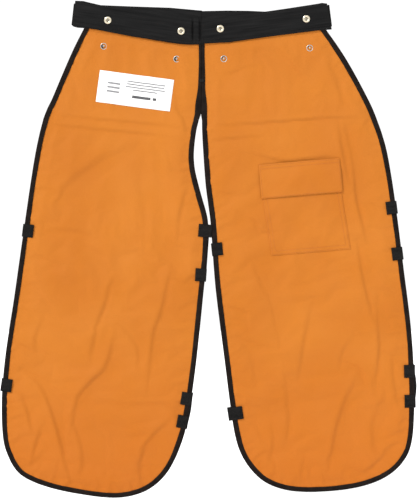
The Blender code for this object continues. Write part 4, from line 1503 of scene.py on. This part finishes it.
def pocket():
    """The cargo pocket: a soft bag sewn flat at its edges, a flap that hangs over its mouth, and touch tapes."""
    hinge = JOINTS["pocket_flap_hinge"]
    local = Local((-hinge["axis"][0], -hinge["axis"][2]), (hinge["pos_m"][0] / MM, hinge["pos_m"][2] / MM))
    bag = local.of(cad_points("pocket_bag"))
    flap = local.of(cad_points("pocket_flap"))
    (u0, _, v0), (u1, _, v1) = bag.min(axis=0), bag.max(axis=0)
    width, drop = flap[:, 0].max(), -flap[:, 2].min()

    def flat(u, v):
        """The bag leans outward below the flap."""
        return local.flat(u + 0.075 * np.maximum(0, -v - drop), v)

    def cloth_y(u, v):
        return READ["left"](*flat(u, v))

    def bag_y(u, v):
        edge = np.minimum(np.minimum(u - u0, u1 - u), v - v0)
        puff = 1.7 * smoothstep(0, 34, edge) + 0.45 * smoothstep(0, 5, edge)
        creases = 0.5 * grain(u, v, 34, 41.0) + 0.25 * grain(u, v, 13, 7.7)
        return cloth_y(u, v) - 0.85 - puff - creases * smoothstep(2, 20, edge)

    def flap_y(u, v):
        down = -v / drop
        over = bag_y(np.clip(u, u0, u1), np.clip(v, v0, None))
        lift = 0.1 + 2.0 * smoothstep(0.04, 0.5, down)
        wave = 0.45 * grain(u, v, 40, 77.0) * smoothstep(0.1, 0.6, down)
        corner = 0.8 * smoothstep(0.6, 1.0, down) * (smoothstep(26, 0, u) + smoothstep(width - 26, width, u))
        low = np.minimum(over, cloth_y(u, v) - 0.5)
        return low - lift + wave + corner * 0.4

    def panel(name, us, vs, height, rim):
        u, v = np.meshgrid(us, vs, indexing="ij")
        y = height(u.ravel(), v.ravel()).reshape(u.shape)
        if rim:
            behind = cloth_y(u.ravel(), v.ravel()).reshape(u.shape) - 0.1
            y[0], y[-1], y[:, 0] = behind[0], behind[-1], behind[:, 0]
        x, z = flat(u, v)
        points = np.stack([x, y, z], axis=2).reshape(-1, 3)
        return facing(new_object(name, points, grid_faces(len(us), len(vs)), ORANGE), (0, -1, 0))

    us = np.concatenate([[u0, u0 + 0.15], np.linspace(u0 + 2, u1 - 2, 46), [u1 - 0.15, u1]])
    vs = np.concatenate([[v0, v0 + 0.15], np.linspace(v0 + 2, v1, 44)])
    sack = thickened(panel("pocket_bag_cloth", us, vs, bag_y, True), 0.45)
    us = np.linspace(0, width, 52)
    vs = np.linspace(-drop, 0, 24)
    cover = thickened(panel("pocket_flap_cloth", us, vs, flap_y, False), 0.7)

    def seam(height, line, out):
        p = resampled_straight(line, 2.5)
        x, z = flat(p[:, 0], p[:, 1])
        return np.stack([x, height(p[:, 0], p[:, 1]) - out, z], axis=1)

    bag_lines = [
        seam(bag_y, [(u0 + m, v1), (u0 + m, v0 + m), (u1 - m, v0 + m), (u1 - m, v1)], 0.3) for m in (2.6, 8.6)
    ]
    flap_lines = [
        seam(flap_y, [(m, -3), (m, -drop + m), (width - m, -drop + m), (width - m, -3)], 0.42) for m in (2.6,)
    ] + [seam(flap_y, [(2, -v), (width - 2, -v)], 0.42) for v in (2.4, 8.4)]
    bag_thread = stitches("pocket_bag_seam", bag_lines, ORANGE_THREAD)
    flap_thread = stitches("pocket_flap_seam", flap_lines, ORANGE_THREAD)

    def tape(name, node, height, out):
        box = local.of(cad_points(node))
        us = np.linspace(box[:, 0].min(), box[:, 0].max(), 44)
        vs = np.linspace(box[:, 2].min(), box[:, 2].max(), 8)
        obj = panel(name, us, vs, lambda u, v: height(u, v) + out, False)
        obj.data.materials[0] = HOOK_TAPE
        thickened(obj, 0.35)
        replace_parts(obj, node)
        return obj

    hooks = tape("flap_hook_tape_pile", "flap_hook_tape", flap_y, 0.6)
    loops = tape("pocket_loop_tape_pile", "pocket_loop_tape", bag_y, -0.45)
    for piece, body in (
        (sack, "left_leg"), (bag_thread, "left_leg"), (loops, "left_leg"), (hooks, "pocket_cover"),
    ):
        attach(piece, body)
    (top_x, top_z), (bend_x, bend_z) = (np.ravel(local.flat(width / 2, v)) for v in (0.5, -9.0))
    for piece in (cover, flap_thread):
        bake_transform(piece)
    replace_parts(sack, "pocket_bag")
    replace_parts(cover, "pocket_flap")


for side in SIDES:
    waistband(side)
    fold_cloth(side)
    belt(side)
    for strap_name in (f"{side}_thigh", f"{side}_calf"):
        leg_strap(side, strap_name)
snaps()
label()
bar_tack()
pocket()


# ---------------------------------------------------------------- stage and camera

def stage():
    """A pale floor, soft light from all round, a key sun from the upper left in front and one from behind."""
    scene = bpy.context.scene
    floor = new_object(
        "floor", [(-6000, -6000, -960), (6000, -6000, -960), (6000, 6000, -960), (-6000, 6000, -960)],
        [(0, 1, 2, 3)], plain_look("floor_white", (0.94, 0.94, 0.94), (0.96, 0.96, 0.96), 2, 0.9), smooth=False,
    )
    world = bpy.data.worlds.new("studio")
    scene.world = world
    world.use_nodes = True
    world.node_tree.nodes["Background"].inputs["Color"].default_value = (1, 1, 1, 1)
    world.node_tree.nodes["Background"].inputs["Strength"].default_value = 1.08
    for name, towards, strength in (("key", (0.9, 0.95, -1.1), 2.0), ("back_key", (-1.0, -0.95, -1.0), 1.2)):
        light = bpy.data.lights.new(name, "SUN")
        light.angle = math.radians(16)
        light.energy = strength
        lamp = bpy.data.objects.new(name, light)
        lamp.rotation_mode = "QUATERNION"
        lamp.rotation_quaternion = Vector(towards).to_track_quat("-Z", "Y")
        scene.collection.objects.link(lamp)
    camera = bpy.data.cameras.new("camera")
    camera.lens = 85
    view = bpy.data.objects.new("camera", camera)
    view.location = (0.016, -2.29, -0.392)
    view.rotation_euler = (math.radians(90), 0, 0)
    scene.collection.objects.link(view)
    scene.camera = view
    scene.view_settings.view_transform = "Standard"


stage()
